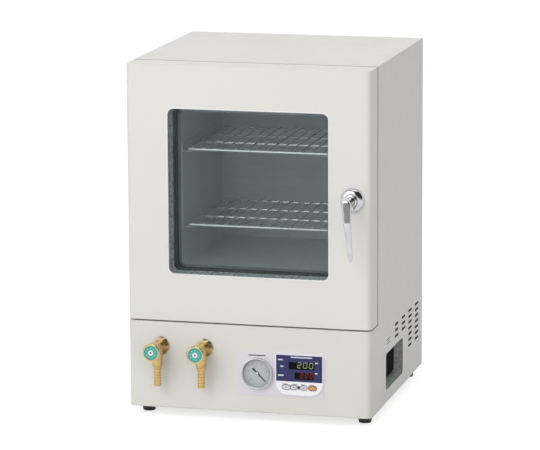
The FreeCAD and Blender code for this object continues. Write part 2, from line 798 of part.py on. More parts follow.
def rear_panel():
    """The back sheet, with two fields of vent slots and the cable gland's hole."""
    body = new_body("rear_panel")
    face = sketch(body, "XZ_Plane", "outline")
    outline(face, (
        (f"-{HALF_WIDTH}", "dims.sheet_wall"), (HALF_WIDTH, "dims.sheet_wall"),
        (HALF_WIDTH, f"{BODY_HEIGHT} - dims.sheet_wall"),
        (f"-{HALF_WIDTH}", f"{BODY_HEIGHT} - dims.sheet_wall"),
    ))
    pad(body, face, "dims.sheet_wall", backwards=True)
    for side, place in (("left", "-dims.rear_slot_x"), ("right", "dims.rear_slot_x")):
        vents = sketch(body, "XZ_Plane", f"vents_{side}")
        slot(vents, "dims.rear_slot_length", "dims.slot_height", place, "dims.rear_slot_rise")
        opening = pocket(body, vents, "2 * dims.sheet_wall")
        span = "(dims.rear_slot_rows - 1) * dims.slot_row_pitch"
        repeat(body, opening, vents, "V_Axis", span, "dims.rear_slot_rows", backwards=True)
    hole = sketch(body, "XZ_Plane", "gland")
    circle(hole, "dims.gland_thread_radius + dims.running_gap", "dims.gland_x", "dims.gland_rise")
    pocket(body, hole, "2 * dims.sheet_wall")
    put(body, "0", f"{BACK} - dims.sheet_wall", BOTTOM)
    keep(body, "rear_panel")


def feet():
    """Four tapered rubber feet under the base plate."""
    places = (
        ("front_left", -1, "dims.foot_front_inset"),
        ("front_right", 1, "dims.foot_front_inset"),
        ("rear_left", -1, f"{BODY_DEPTH} - dims.foot_rear_inset"),
        ("rear_right", 1, f"{BODY_DEPTH} - dims.foot_rear_inset"),
    )
    pieces = []
    for name, sign, set_back in places:
        foot = DOC.addObject("Part::Cone", f"foot_{name}")
        foot.setExpression("Radius1", "dims.foot_tip_radius")
        foot.setExpression("Radius2", "dims.foot_top_radius")
        foot.setExpression("Height", "dims.foot_height")
        put(foot, f"{sign} * ({HALF_WIDTH} - dims.foot_side_inset)", f"{FRONT} + {set_back}")
        pieces.append(foot)
    keep(group("rubber_feet_group", pieces), "rubber_feet")


def deck():
    """The shelf inside the cabinet that carries the insulated chamber."""
    plate = box(
        "deck_plate", INNER_WIDTH,
        f"{WOOL_BACK} + dims.deck_depth_spare - {CHAMBER_MOUTH}", "dims.sheet_wall",
        f"-{INNER_WIDTH} / 2", CHAMBER_MOUTH, f"{WOOL_BOTTOM} - dims.sheet_wall",
    )
    keep(plate, "chamber_deck")


def front_frame():
    """The stainless frame behind the door, round the chamber's mouth and the latch keeper."""
    body = new_body("front_frame")
    face = sketch(body, "XZ_Plane", "outline")
    low = at_chamber(SILL_TOP)
    high = at_chamber(f"({TOP} - dims.sheet_wall)")
    half = f"{INNER_WIDTH} / 2"
    outline(face, ((f"-{half}", low), (half, low), (half, high), (f"-{half}", high)))
    rounded_rectangle(
        face, "dims.chamber_width", "dims.chamber_height", "dims.chamber_corner",
    )
    rounded_rectangle(
        face, "dims.keeper_size", "dims.keeper_size", "dims.control_corner",
        HANDLE_X, at_chamber(LATCH_HEIGHT),
    )
    pad(body, face, "dims.frame_thickness", backwards=True)
    put(body, "0", CASE_FRONT, CHAMBER_MIDDLE)
    keep(body, "front_frame")


# Chamber

def chamber():
    """The stainless chamber, open at the front, with round long corners and ports at the back."""
    body = new_body("chamber")
    outside = sketch(body, "XZ_Plane", "outside")
    rounded_rectangle(
        outside, "dims.chamber_width + 2 * dims.chamber_wall",
        "dims.chamber_height + 2 * dims.chamber_wall", "dims.chamber_corner + dims.chamber_wall",
    )
    pad(body, outside, "dims.chamber_depth + dims.chamber_wall", backwards=True)
    inside = sketch(body, "XZ_Plane", "inside")
    rounded_rectangle(inside, "dims.chamber_width", "dims.chamber_height", "dims.chamber_corner")
    pocket(body, inside, "dims.chamber_depth")
    holes = sketch(body, "XZ_Plane", "ports", "-dims.chamber_depth")
    for across, height in PORTS:
        circle(holes, "dims.port_radius", across, at_chamber(height))
    across, height = SENSOR_PLACE
    circle(holes, "dims.sensor_radius + dims.fit_gap", across, at_chamber(height))
    pocket(body, holes, "2 * dims.chamber_wall")
    put(body, "0", CHAMBER_MOUTH, CHAMBER_MIDDLE)
    keep(body, "chamber")


def insulation():
    """The block of mineral wool round the chamber, open at the front."""
    width = f"(dims.chamber_width + 2 * {WOOL_REACH})"
    height = f"(dims.chamber_height + 2 * {WOOL_REACH})"
    depth = f"({WOOL_BACK} - {CHAMBER_MOUTH})"
    block = box(
        "wool_block", width, depth, height, f"-{width} / 2", CHAMBER_MOUTH, WOOL_BOTTOM,
    )
    room_width = f"(dims.chamber_width + 2 * {HEATER_SHELL})"
    room_height = f"(dims.chamber_height + 2 * {HEATER_SHELL})"
    room = box(
        "wool_room", room_width, f"{CHAMBER_BACK_OUTSIDE} - {CHAMBER_MOUTH}", room_height,
        f"-{room_width} / 2", CHAMBER_MOUTH, f"{CHAMBER_MIDDLE} - {room_height} / 2",
    )
    keeper_room = f"(dims.keeper_size + 2 * dims.sheet_wall + 2 * dims.fit_gap)"
    notch = box(
        "wool_keeper_room", keeper_room, "dims.keeper_depth + dims.fit_gap", keeper_room,
        f"{HANDLE_X} - {keeper_room} / 2", CHAMBER_MOUTH, f"{LATCH_HEIGHT} - {keeper_room} / 2",
    )
    tools = [room, notch]
    for place, (across, rise) in enumerate(PORTS):
        tools.append(cylinder(
            f"wool_port_{place}", "dims.pipe_radius + dims.port_clearance",
            "dims.insulation_back", across, CHAMBER_BACK_OUTSIDE, rise, along="y",
        ))
    across, rise = SENSOR_PLACE
    tools.append(cylinder(
        "wool_sensor_hole", "dims.sensor_radius + dims.fit_gap", "dims.insulation_back",
        across, CHAMBER_BACK_OUTSIDE, rise, along="y",
    ))
    keep(cut("wool_body", block, tools), "insulation")


def heaters():
    """Flat heating plates on the chamber's floor, roof and both sides."""
    flat_width = "(dims.chamber_width - 2 * dims.heater_margin)"
    flat_height = "(dims.chamber_height - 2 * dims.heater_margin)"
    depth = "(dims.chamber_depth - 2 * dims.heater_margin)"
    start = f"{CHAMBER_MOUTH} + dims.heater_margin"
    side = "(dims.chamber_width / 2 + dims.chamber_wall)"
    rise = "(dims.chamber_height / 2 + dims.chamber_wall)"
    thick = "dims.heater_thickness"
    low = f"{CHAMBER_MIDDLE} - {flat_height} / 2"
    pieces = [
        box("heater_left", thick, depth, flat_height, f"-{side} - {thick}", start, low),
        box("heater_right", thick, depth, flat_height, side, start, low),
        box(
            "heater_top", flat_width, depth, thick, f"-{flat_width} / 2", start,
            f"{CHAMBER_MIDDLE} + {rise}",
        ),
        box(
            "heater_bottom", flat_width, depth, thick, f"-{flat_width} / 2", start,
            f"{CHAMBER_MIDDLE} - {rise} - {thick}",
        ),
    ]
    keep(group("heater_group", pieces), "wall_heaters")


def sensor():
    """The temperature sensor: a rod through the back wall, with its head behind the wool."""
    across, rise = SENSOR_PLACE
    rod_start = f"({CHAMBER_BACK} - dims.sensor_reach)"
    rod = cylinder(
        "sensor_rod", "dims.sensor_radius", f"{WOOL_BACK} - {rod_start}", across, rod_start, rise,
        along="y",
    )
    head = cylinder(
        "sensor_head", "dims.sensor_head_radius", "dims.sensor_head_length", across, WOOL_BACK,
        rise, along="y",
    )
    keep(fuse("sensor_body", [rod, head]), "temperature_sensor")


def shelf_rail(name, sign):
    """A bent rail on a side wall, with a ledge for each shelf."""
    body = new_body(f"rail_{name}")
    wall = f"{sign} * dims.chamber_width / 2"
    face = f"{sign} * (dims.chamber_width / 2 - dims.rail_thickness)"
    edge = f"{sign} * (dims.chamber_width / 2 - dims.rail_ledge)"
    drop = "(dims.shelf_rod_radius + dims.fit_gap)"
    top = "dims.rail_plate_height / 2"
    upper = f"dims.shelf_spacing / 2 - {drop}"
    lower = f"-dims.shelf_spacing / 2 - {drop}"
    thin = "dims.rail_thickness"
    drawing = sketch(body, "XZ_Plane", "section")
    points = [
        (wall, f"-{top}"), (wall, top), (face, top), (face, upper), (edge, upper),
        (edge, f"{upper} - {thin}"), (face, f"{upper} - {thin}"), (face, lower), (edge, lower),
        (edge, f"{lower} - {thin}"), (face, f"{lower} - {thin}"), (face, f"-{top}"),
    ]
    outline(drawing, points)
    pad(
        body, drawing,
        "dims.chamber_depth - dims.rail_front_space - dims.rail_rear_space", backwards=True,
    )
    return put(body, "0", f"{CHAMBER_MOUTH} + dims.rail_front_space", CHAMBER_MIDDLE)


def shelf_rails():
    """The rails on both side walls."""
    keep(group("rail_group", [shelf_rail("left", -1), shelf_rail("right", 1)]), "shelf_rails")


def round_bar(name, radius, length, x, y, z, along):
    """A straight wire, drawn with few sides because the shelves repeat it many times."""
    bar = DOC.addObject("Part::Prism", name)
    bar.Polygon = WIRE_SIDES
    bar.setExpression("Circumradius", radius)
    bar.setExpression("Height", length)
    half_side = Rotation(Vector(0, 0, 1), 180.0 / WIRE_SIDES)
    lay_down = {"x": Rotation(Vector(0, 1, 0), 90), "y": Rotation(Vector(1, 0, 0), -90)}
    bar.Placement = FreeCAD.Placement(Vector(), lay_down[along].multiply(half_side))
    return put(bar, x, y, z)


def wire_shelf(label, height):
    """A welded shelf: cross rods from side to side carry a row of thinner wires from front to back."""
    front = f"({CHAMBER_MOUTH} + dims.shelf_front_space)"
    width = "(dims.chamber_width - 2 * dims.shelf_side_space)"
    depth = "(dims.chamber_depth - dims.shelf_front_space - dims.shelf_rear_space)"
    pieces = []
    for place in range(int(SIZES["shelf_rods"])):
        step = f"({depth} - 2 * dims.shelf_rod_radius) * {place} / (dims.shelf_rods - 1)"
        pieces.append(round_bar(
            f"{label}_rod_{place}", "dims.shelf_rod_radius", width, f"-{width} / 2",
            f"{front} + dims.shelf_rod_radius + {step}", height, "x",
        ))
    edge = f"({width} / 2 - dims.rail_ledge / 2)"
    wire_rise = "dims.shelf_rod_radius + dims.shelf_wire_radius - dims.weld_sink"
    for place in range(int(SIZES["shelf_wires"])):
        across = f"-{edge} + 2 * {edge} * {place} / (dims.shelf_wires - 1)"
        pieces.append(round_bar(
            f"{label}_wire_{place}", "dims.shelf_wire_radius", depth, across, front,
            f"{height} + {wire_rise}", "y",
        ))
    keep(fuse(f"{label}_body", pieces), label)


# Door

def door_shell():
    """The painted outer pan of the door, with the window opening and the latch hole."""
    body = new_body("door_shell")
    plan = sketch(body, "XY_Plane", "plan")
    front_rounded(plan, BODY_WIDTH, "dims.door_thickness", "dims.edge_radius")
    pad(body, plan, DOOR_HEIGHT)
    hollow = sketch(body, "XY_Plane", "hollow", "dims.sheet_wall")
    front_rounded(
        hollow, INNER_WIDTH, "dims.door_thickness", "dims.edge_radius - dims.sheet_wall",
        "dims.sheet_wall",
    )
    pocket(body, hollow, f"{DOOR_HEIGHT} - 2 * dims.sheet_wall", backwards=True)
    holes = sketch(body, "XZ_Plane", "openings")
    rounded_rectangle(
        holes, *grown(WINDOW, "dims.trim_width"), "0", f"{WINDOW_MIDDLE} - {DOOR_BOTTOM}",
    )
    circle(
        holes, "dims.bushing_radius + dims.running_gap", HANDLE_X,
        f"{LATCH_HEIGHT} - {DOOR_BOTTOM}",
    )
    pocket(body, holes, "2 * dims.sheet_wall")
    put(body, "0", FRONT, DOOR_BOTTOM)
    keep(body, "door_shell")


WINDOW = (
    "(dims.chamber_width + 2 * dims.window_side_spare)",
    "(dims.chamber_height + 2 * dims.window_end_spare)", "dims.window_corner",
)
GLASS = (
    f"{WINDOW[0]} + 2 * dims.glass_margin",
    f"{WINDOW[1]} + 2 * dims.glass_margin",
    "dims.window_corner",
)


def grown(size, amount):
    """A rounded rectangle's sizes, grown by the same amount on every side."""
    width, height, corner = size
    return (f"{width} + 2 * ({amount})", f"{height} + 2 * ({amount})", f"{corner} + ({amount})")


OUTER_GLASS_FACE = f"({FRONT} + dims.trim_depth - dims.trim_proud)"
TUNNEL_FACE = f"({OUTER_GLASS_FACE} + dims.glass_thickness)"
INNER_GLASS_FACE = f"({TUNNEL_FACE} + dims.tunnel_depth)"
COLLAR_FACE = f"({INNER_GLASS_FACE} + dims.glass_thickness)"
DOOR_BACK = f"({FRONT} + dims.door_thickness)"


def window_trim():
    """The thin rolled rim round the window, standing a little proud of the door."""
    body = new_body("window_trim")
    drawing = sketch(body, "XZ_Plane", "outline")
    rounded_rectangle(drawing, *grown(WINDOW, "dims.trim_width"))
    rounded_rectangle(drawing, *WINDOW)
    rim = pad(body, drawing, "dims.trim_depth", backwards=True)
    edges = []
    for place, edge in enumerate(rim.Shape.Edges, start=1):
        bounds = edge.BoundBox
        if abs(bounds.YMin) < 1e-6 and abs(bounds.YMax) < 1e-6:
            edges.append(f"Edge{place}")
    rolled = body.newObject("PartDesign::Fillet", "window_trim_roll")
    rolled.Base = (rim, edges)
    rolled.setExpression("Radius", f"dims.trim_width * {SOFT_CORNER}")
    put(body, "0", f"{FRONT} - dims.trim_proud", WINDOW_MIDDLE)
    keep(body, "window_trim")


def door_glazing():
    """The window stack from front to back: seal, outer glass, tunnel, inner glass."""
    skin_back = f"({FRONT} + dims.sheet_wall)"
    ring(
        "glass_seal", GLASS, grown(WINDOW, "dims.trim_width"),
        f"{OUTER_GLASS_FACE} - {skin_back}", skin_back,
    )
    pane("outer_glass", *GLASS, "dims.glass_thickness", OUTER_GLASS_FACE)
    ring(
        "window_tunnel", grown(WINDOW, "dims.tunnel_wall"), WINDOW, "dims.tunnel_depth", TUNNEL_FACE,
    )
    pane("inner_glass", *GLASS, "dims.glass_thickness", INNER_GLASS_FACE)


def door_liner():
    """The stainless rear pan of the door, with a collar that backs the inner glass."""
    body = new_body("door_liner")
    centre = f"{WINDOW_MIDDLE} - {DOOR_MIDDLE}"
    play = "(dims.sheet_wall + dims.fit_gap)"
    plate = sketch(body, "XZ_Plane", "plate")
    rounded_rectangle(
        plate, f"{BODY_WIDTH} - 2 * {play}", f"{DOOR_HEIGHT} - 2 * {play}",
        "dims.control_corner",
    )
    rounded_rectangle(plate, *WINDOW, "0", centre)
    circle(plate, "dims.bushing_radius + dims.running_gap", HANDLE_X, "dims.handle_lift")
    pad(body, plate, "dims.liner_thickness", backwards=True)
    collar = sketch(body, "XZ_Plane", "collar")
    rounded_rectangle(collar, *grown(WINDOW, "dims.tunnel_wall"), "0", centre)
    rounded_rectangle(collar, *WINDOW, "0", centre)
    pad(body, collar, f"{DOOR_BACK} - dims.liner_thickness - {COLLAR_FACE}")
    put(body, "0", f"{DOOR_BACK} - dims.liner_thickness", DOOR_MIDDLE)
    keep(body, "door_liner")


def door_gasket():
    """The silicone loop on the door's back that seals against the front frame."""
    inner = grown(
        ("dims.chamber_width", "dims.chamber_height", "dims.chamber_corner"), "dims.gasket_lap",
    )
    body = new_body("door_gasket")
    drawing = sketch(body, "XZ_Plane", "outline")
    rounded_rectangle(drawing, *grown(inner, "dims.gasket_width"))
    rounded_rectangle(drawing, *inner)
    pad(body, drawing, "dims.door_gap - dims.fit_gap", backwards=True)
    put(body, "0", DOOR_BACK, CHAMBER_MIDDLE)
    keep(body, "door_gasket")


def door_wool():
    """The insulation that fills the door round its window."""
    body = new_body("door_wool")
    front = "(dims.sheet_wall + dims.fit_gap)"
    room = f"(dims.door_thickness - dims.liner_thickness - {front} - dims.fit_gap)"
    plan = sketch(body, "XY_Plane", "plan", front)
    front_rounded(
        plan, f"{INNER_WIDTH} - 2 * dims.fit_gap", f"{front} + {room}",
        "dims.edge_radius - dims.sheet_wall - dims.fit_gap", front,
    )
    pad(body, plan, f"{DOOR_HEIGHT} - 2 * {front}")
    holes = sketch(body, "XZ_Plane", "openings")
    rounded_rectangle(
        holes, *grown(WINDOW, "dims.wool_clearance"), "0", f"{WINDOW_MIDDLE} - {DOOR_BOTTOM}",
    )
    circle(
        holes, "dims.bushing_radius + dims.fit_gap", HANDLE_X,
        f"{LATCH_HEIGHT} - {DOOR_BOTTOM}",
    )
    pocket(body, holes, "dims.door_thickness")
    put(body, "0", FRONT, DOOR_BOTTOM)
    keep(body, "door_insulation")


# Hinges

def hinge_heights():
    """The low ends of the lower and the upper hinge."""
    lower = f"({DOOR_BOTTOM} + dims.hinge_inset)"
    upper = f"({TOP} - dims.hinge_inset - dims.hinge_height)"
    return (("lower", lower), ("upper", upper))


def hinge_leaf(name, sign, parts, z):
    """One leaf: a plate on the side wall and the knuckles that it carries."""
    clear_radius = "dims.knuckle_radius + dims.fit_gap"
    y = CASE_FRONT if sign > 0 else f"{DOOR_BACK} - dims.hinge_leaf_width"
    plate = box(
        f"{name}_plate", "dims.hinge_leaf_thickness", "dims.hinge_leaf_width",
        "dims.hinge_height", f"-{HALF_WIDTH} - dims.hinge_leaf_thickness", y, z,
    )
    third = "((dims.hinge_height - 2 * dims.knuckle_gap) / 3)"
    pieces = [plate]
    clears = []
    for place in range(3):
        low = f"{z} + {place} * ({third} + dims.knuckle_gap)"
        if place in parts:
            pieces.append(cylinder(
                f"{name}_knuckle_{place}", "dims.knuckle_radius", third, HINGE_X, HINGE_Y, low,
            ))
        else:
            clears.append(cylinder(
                f"{name}_clear_{place}", clear_radius,
                f"{third} + 2 * dims.knuckle_gap", HINGE_X, HINGE_Y, f"{low} - dims.knuckle_gap",
            ))
    bore = cylinder(
        f"{name}_bore", "dims.hinge_pin_radius + dims.running_gap", "dims.hinge_height",
        HINGE_X, HINGE_Y, z,
    )
    return cut(f"{name}_leaf", fuse(f"{name}_blank", pieces), clears + [bore])


def hinges():
    """Two barrel hinges on the left side: the case carries the outer knuckles and the pins."""
    case_leaves = []
    door_leaves = []
    pins = []
    for name, z in hinge_heights():
        case_leaves.append(hinge_leaf(f"case_{name}", 1, (0, 2), z))
        door_leaves.append(hinge_leaf(f"door_{name}", -1, (1,), z))
        shank = cylinder(
            f"pin_{name}", "dims.hinge_pin_radius", "dims.hinge_height", HINGE_X, HINGE_Y, z,
        )
        head = cylinder(
            f"pin_{name}_head", "dims.knuckle_radius", "dims.hinge_head_height",
            HINGE_X, HINGE_Y, f"{z} + dims.hinge_height",
        )
        pins.append(fuse(f"hinge_pin_{name}", [shank, head]))
    keep(group("case_leaf_group", case_leaves), "hinge_case_leaves")
    keep(group("door_leaf_group", door_leaves), "hinge_door_leaves")
    keep(group("hinge_pin_group", pins), "hinge_pins")


# Latch

def latch_bushing():
    """The bearing tube through the door for the latch shaft."""
    tube = cylinder(
        "bushing_tube", "dims.bushing_radius", "dims.door_thickness", HANDLE_X, FRONT,
        LATCH_HEIGHT, along="y",
    )
    bore = cylinder(
        "bushing_bore", "dims.shaft_radius + dims.running_gap", "dims.door_thickness",
        HANDLE_X, FRONT, LATCH_HEIGHT, along="y",
    )
    keep(cut("bushing_body", tube, [bore]), "latch_bushing")


def latch_escutcheon():
    """The domed plate on the door, with a raised collar round the lever's neck."""
    rise = "dims.escutcheon_height"
    radius = "dims.escutcheon_radius"
    neck = "(dims.neck_radius + dims.fit_gap)"
    top = f"({rise} + dims.collar_height)"
    body = new_body("latch_escutcheon")
    drawing = sketch(body, "YZ_Plane", "section")
    dome = [(f"-{rise} * {up}", f"{radius} * {out}") for up, out in DOME_PROFILE]
    collar = [
        (f"-{rise}", "dims.collar_radius"),
        (f"-{top} + dims.collar_height * {SOFT_CORNER}", "dims.collar_radius"),
        (f"-{top}", f"dims.collar_radius - dims.collar_height * {SOFT_CORNER}"),
        (f"-{top}", neck),
    ]
    outline(drawing, [("0", neck), ("0", radius)] + dome + collar)
    turn(body, drawing, "H_Axis")
    put(body, HANDLE_X, FRONT, LATCH_HEIGHT)
    keep(body, "latch_escutcheon")


def latch_lever():
    """The lever: a neck, a round head and an arm that tapers down to its tip past a slight knee."""
    body = new_body("latch_lever")
    hub = sketch(body, "YZ_Plane", "hub")
    reach = "dims.lever_reach"
    rear = f"({reach} - dims.head_depth)"
    head = [
        (f"-({rear} + dims.head_depth * {along})", f"dims.head_radius * {out}")
        for along, out in HEAD_PROFILE
    ]
    neck = [
        ("-dims.fit_gap", "0"), ("-dims.fit_gap", "dims.neck_radius"),
        (f"-{rear}", f"dims.neck_radius * {NECK_TAPER}"),
    ]
    outline(hub, neck + head + [(f"-{reach}", "0")])
    turn(body, hub, "H_Axis")
    corner = f"dims.lever_tip_depth * {SOFT_CORNER}"
    middle = f"-{reach} + dims.head_depth / 2"
    stations = (
        ("root", "0", "dims.lever_root_width", f"dims.head_depth * {ARM_SHARE}", middle),
        ("knee", "dims.lever_knee", "dims.lever_knee_width", "dims.lever_knee_depth", middle),
        ("tip", "dims.lever_length", "dims.lever_tip_width", "dims.lever_tip_depth",
         f"{middle} + dims.lever_lean"),
    )
    sections = []
    for name, drop, width, depth, centre in stations:
        drawing = sketch(body, "XY_Plane", name, "0" if drop == "0" else f"-{drop}")
        rounded_rectangle(drawing, width, depth, corner, "0", centre)
        drawing.Visibility = False
        sections.append(drawing)
    arm = body.newObject("PartDesign::AdditiveLoft", "latch_lever_arm")
    arm.Profile = sections[0]
    arm.Sections = sections[1:]
    arm.Ruled = True
    body.Placement = FreeCAD.Placement(
        Vector(), Rotation(Vector(0, 1, 0), -number("dims.lever_rest_angle"))
    )
    put(body, HANDLE_X, FRONT, LATCH_HEIGHT)
    keep(body, "latch_lever")


CAM_FACE = f"({CASE_FRONT} + dims.cam_set_back)"


def latch_shaft():
    """The shaft behind the lever, with a forged cam on its rear end that is flat on one side."""
    start = f"({FRONT} - dims.fit_gap)"
    end = f"({CAM_FACE} + dims.cam_thickness)"
    bar = cylinder(
        "shaft_bar", "dims.shaft_radius", f"{end} - {start}", HANDLE_X, start, LATCH_HEIGHT,
        along="y",
    )
    disc = cylinder(
        "cam_disc", "dims.cam_radius", "dims.cam_thickness", HANDLE_X, CAM_FACE,
        LATCH_HEIGHT, along="y",
    )
    reach = "(dims.cam_radius * 2)"
    flat = box(
        "cam_flat", reach, "dims.cam_thickness", reach,
        f"{HANDLE_X} - dims.cam_radius", CAM_FACE, f"{LATCH_HEIGHT} + dims.cam_flat_rise",
    )
    keep(fuse("shaft_body", [bar, cut("cam_body", disc, [flat])]), "latch_shaft")


def latch_keeper():
    """The pressed cup behind the front frame that the cam turns in."""
    outer = "(dims.keeper_size + 2 * dims.sheet_wall)"
    cup = box(
        "keeper_block", outer, "dims.keeper_depth", outer, f"{HANDLE_X} - {outer} / 2",
        CHAMBER_MOUTH, f"{LATCH_HEIGHT} - {outer} / 2",
    )
    room = box(
        "keeper_room", "dims.keeper_size", "dims.keeper_depth - dims.sheet_wall",
        "dims.keeper_size", f"{HANDLE_X} - dims.keeper_size / 2", CHAMBER_MOUTH,
        f"{LATCH_HEIGHT} - dims.keeper_size / 2",
    )
    keep(cut("keeper_body", cup, [room]), "latch_keeper")


# Gas valves

def valve_outlet(body):
    """The downward outlet: a tapered socket and a hose barb, with a blind bore."""
    section = sketch(body, "XZ_Plane", "outlet", "dims.outlet_set_out")
    start = "dims.outlet_taper_end"
    pitch = "dims.barb_length / dims.barb_teeth"
    points = [
        ("0", "0"), ("dims.outlet_radius", "0"), ("dims.outlet_radius", "-dims.outlet_taper_start"),
        ("dims.outlet_neck_radius", f"-{start}"), ("dims.barb_root_radius", f"-{start}"),
    ]
    for tooth in range(int(SIZES["barb_teeth"])):
        shoulder = f"-({start} + {pitch} * ({tooth} + {BARB_SHOULDER}))"
        foot = f"-({start} + {pitch} * ({tooth} + 1))"
        points.append(("dims.barb_root_radius", shoulder))
        points.append(("dims.barb_radius", shoulder))
        points.append(("dims.barb_root_radius", foot))
    end = f"-({start} + dims.barb_length)"
    top = f"-{start}"
    points += [("dims.barb_bore_radius", end), ("dims.barb_bore_radius", top), ("0", top)]
    outline(section, points)
    turn(body, section, "V_Axis")


def valve_barrel(body):
    """The barrel along the valve's axis: stud, hexagon, barrel and hexagonal bonnet."""
    flange = "dims.valve_flange_thickness"
    bonnet_end = "(dims.knob_reach - dims.knob_thickness - dims.fit_gap)"
    bonnet_start = f"({bonnet_end} - dims.bonnet_length)"
    stem_room = "(dims.stem_radius + dims.running_gap)"
    section = sketch(body, "YZ_Plane", "barrel")
    outline(section, (
        ("dims.valve_stud_length", "0"), ("dims.valve_stud_length", "dims.valve_stud_radius"),
        (f"-{flange}", "dims.valve_stud_radius"), (f"-{flange}", "dims.barrel_radius"),
        (f"-{bonnet_end}", f"dims.barrel_radius * {BARREL_TAPER}"), (f"-{bonnet_end}", stem_room),
        (f"-{bonnet_end} + dims.stem_depth", stem_room), (f"-{bonnet_end} + dims.stem_depth", "0"),
    ))
    turn(body, section, "H_Axis")
    union = sketch(body, "XZ_Plane", "union", flange)
    hexagon(union, "dims.valve_hex_flats")
    pad(body, union, "dims.valve_hex_length")
    bonnet = sketch(body, "XZ_Plane", "bonnet", bonnet_start)
    hexagon(bonnet, "dims.bonnet_flats")
    circle(bonnet, stem_room)
    pad(body, bonnet, "dims.bonnet_length")


def valve_knob(name, x):
    """The knob: a fluted disc with a recess for its badge, on the stem that it turns."""
    body = new_body(f"{name}_knob")
    section = sketch(body, "YZ_Plane", "section")
    face = "dims.knob_reach"
    rear = "(dims.knob_reach - dims.knob_thickness)"
    stem_end = f"({rear} + dims.fit_gap - dims.stem_depth)"
    recess = "(dims.badge_radius + dims.fit_gap)"
    stem = [(f"-{stem_end}", "0"), (f"-{stem_end}", "dims.stem_radius")]
    grip = [
        (f"-{rear} - dims.knob_thickness * {along}", f"dims.knob_radius * {out}")
        for along, out in KNOB_PROFILE
    ]
    seat = f"-{face} + dims.badge_thickness"
    front = [(f"-{face}", recess), (seat, recess), (seat, "0")]
    outline(section, stem + [(f"-{rear}", "dims.stem_radius")] + grip + front)
    turn(body, section, "H_Axis")
    flute_sketch = sketch(body, "XZ_Plane", "flute", face)
    circle(flute_sketch, "dims.flute_radius", f"dims.knob_radius + dims.flute_radius * {SOFT_CORNER}", "0")
    flute = pocket(body, flute_sketch, "dims.knob_thickness")
    flutes = body.newObject("PartDesign::PolarPattern", f"{name}_flutes")
    flutes.Originals = [flute]
    flutes.Axis = (flute_sketch, ["N_Axis"])
    flutes.Angle = 360.0
    flutes.setExpression("Occurrences", "dims.knob_flutes")
    body.Tip = flutes
    put(body, x, FRONT, VALVE_HEIGHT)
    keep(body, f"{name}_knob")


def valve(name, x):
    """One gas valve: body with its inner nut, turning knob and badge."""
    body = new_body(f"{name}_casting")
    valve_barrel(body)
    valve_outlet(body)
    put(body, x, FRONT, VALVE_HEIGHT)
    nut = new_body(f"{name}_nut")
    drawing = sketch(nut, "XZ_Plane", "outline")
    hexagon(drawing, "dims.valve_nut_flats")
    circle(drawing, "dims.valve_stud_radius")
    pad(nut, drawing, "dims.valve_nut_thickness", backwards=True)
    put(nut, x, f"{FRONT} + dims.sheet_wall", VALVE_HEIGHT)
    keep(group(f"{name}_group", [body, nut]), f"{name}_body")
    valve_knob(name, x)
    badge = cylinder(
        f"{name}_badge_disc", "dims.badge_radius", "dims.badge_thickness", x,
        f"{FRONT} - dims.knob_reach", VALVE_HEIGHT, along="y",
    )
    keep(badge, f"{name}_badge")


def valve_flanges():
    """The round wall plates behind both valves."""
    plates = []
    for name, x in (("left", "dims.valve_left_x"), ("right", "dims.valve_right_x")):
        y = f"{FRONT} - dims.valve_flange_thickness"
        disc = cylinder(
            f"flange_{name}_disc", "dims.valve_flange_radius", "dims.valve_flange_thickness",
            x, y, VALVE_HEIGHT, along="y",
        )
        bore = cylinder(
            f"flange_{name}_bore", "dims.valve_stud_radius + dims.running_gap",
            "dims.valve_flange_thickness", x, y, VALVE_HEIGHT, along="y",
        )
        plates.append(cut(f"flange_{name}", disc, [bore]))
    keep(group("flange_group", plates), "valve_wall_plates")


# Pressure gauge

def gauge_case():
    """The gauge's cup and thin bezel, stepped for the glass and the dial, with its connection."""
    body = new_body("gauge_case")
    section = sketch(body, "YZ_Plane", "section")
    proud = "(dims.gauge_proud + dims.label_thickness)"
    deep = "dims.gauge_body_depth"
    roll = f"dims.gauge_rim * {SOFT_CORNER}"
    glass_room = "dims.gauge_radius - dims.gauge_rim"
    glass_seat = f"(-{proud} + {roll} + dims.gauge_glass_thickness)"
    dial_seat = f"(-{proud} + dims.dial_set_back + dims.dial_thickness)"
    outline(section, (
        (f"{deep} + dims.gauge_stem_length", "0"),
        (f"{deep} + dims.gauge_stem_length", "dims.gauge_stem_radius"),
        (deep, "dims.gauge_stem_radius"), (deep, "dims.gauge_body_radius"),
        ("-dims.label_thickness", "dims.gauge_body_radius"),
        ("-dims.label_thickness", "dims.gauge_radius"),
        (f"-{proud} + {roll}", "dims.gauge_radius"),
        (f"-{proud}", f"dims.gauge_radius - {roll}"), (f"-{proud}", glass_room),
        (glass_seat, glass_room), (glass_seat, "dims.dial_radius"),
        (dial_seat, "dims.dial_radius"), (dial_seat, "dims.gauge_inner_radius"),
        (f"{deep} - dims.gauge_wall", "dims.gauge_inner_radius"),
        (f"{deep} - dims.gauge_wall", "0"),
    ))
    turn(body, section, "H_Axis")
    put(body, "dims.gauge_x", FRONT, GAUGE_HEIGHT)
    keep(body, "gauge_case")


GAUGE_RIM_FACE = f"({LABEL_FACE} - dims.gauge_proud)"
GAUGE_GLASS_FACE = f"({GAUGE_RIM_FACE} + dims.gauge_rim * {SOFT_CORNER})"
DIAL_FACE = f"({GAUGE_RIM_FACE} + dims.dial_set_back)"


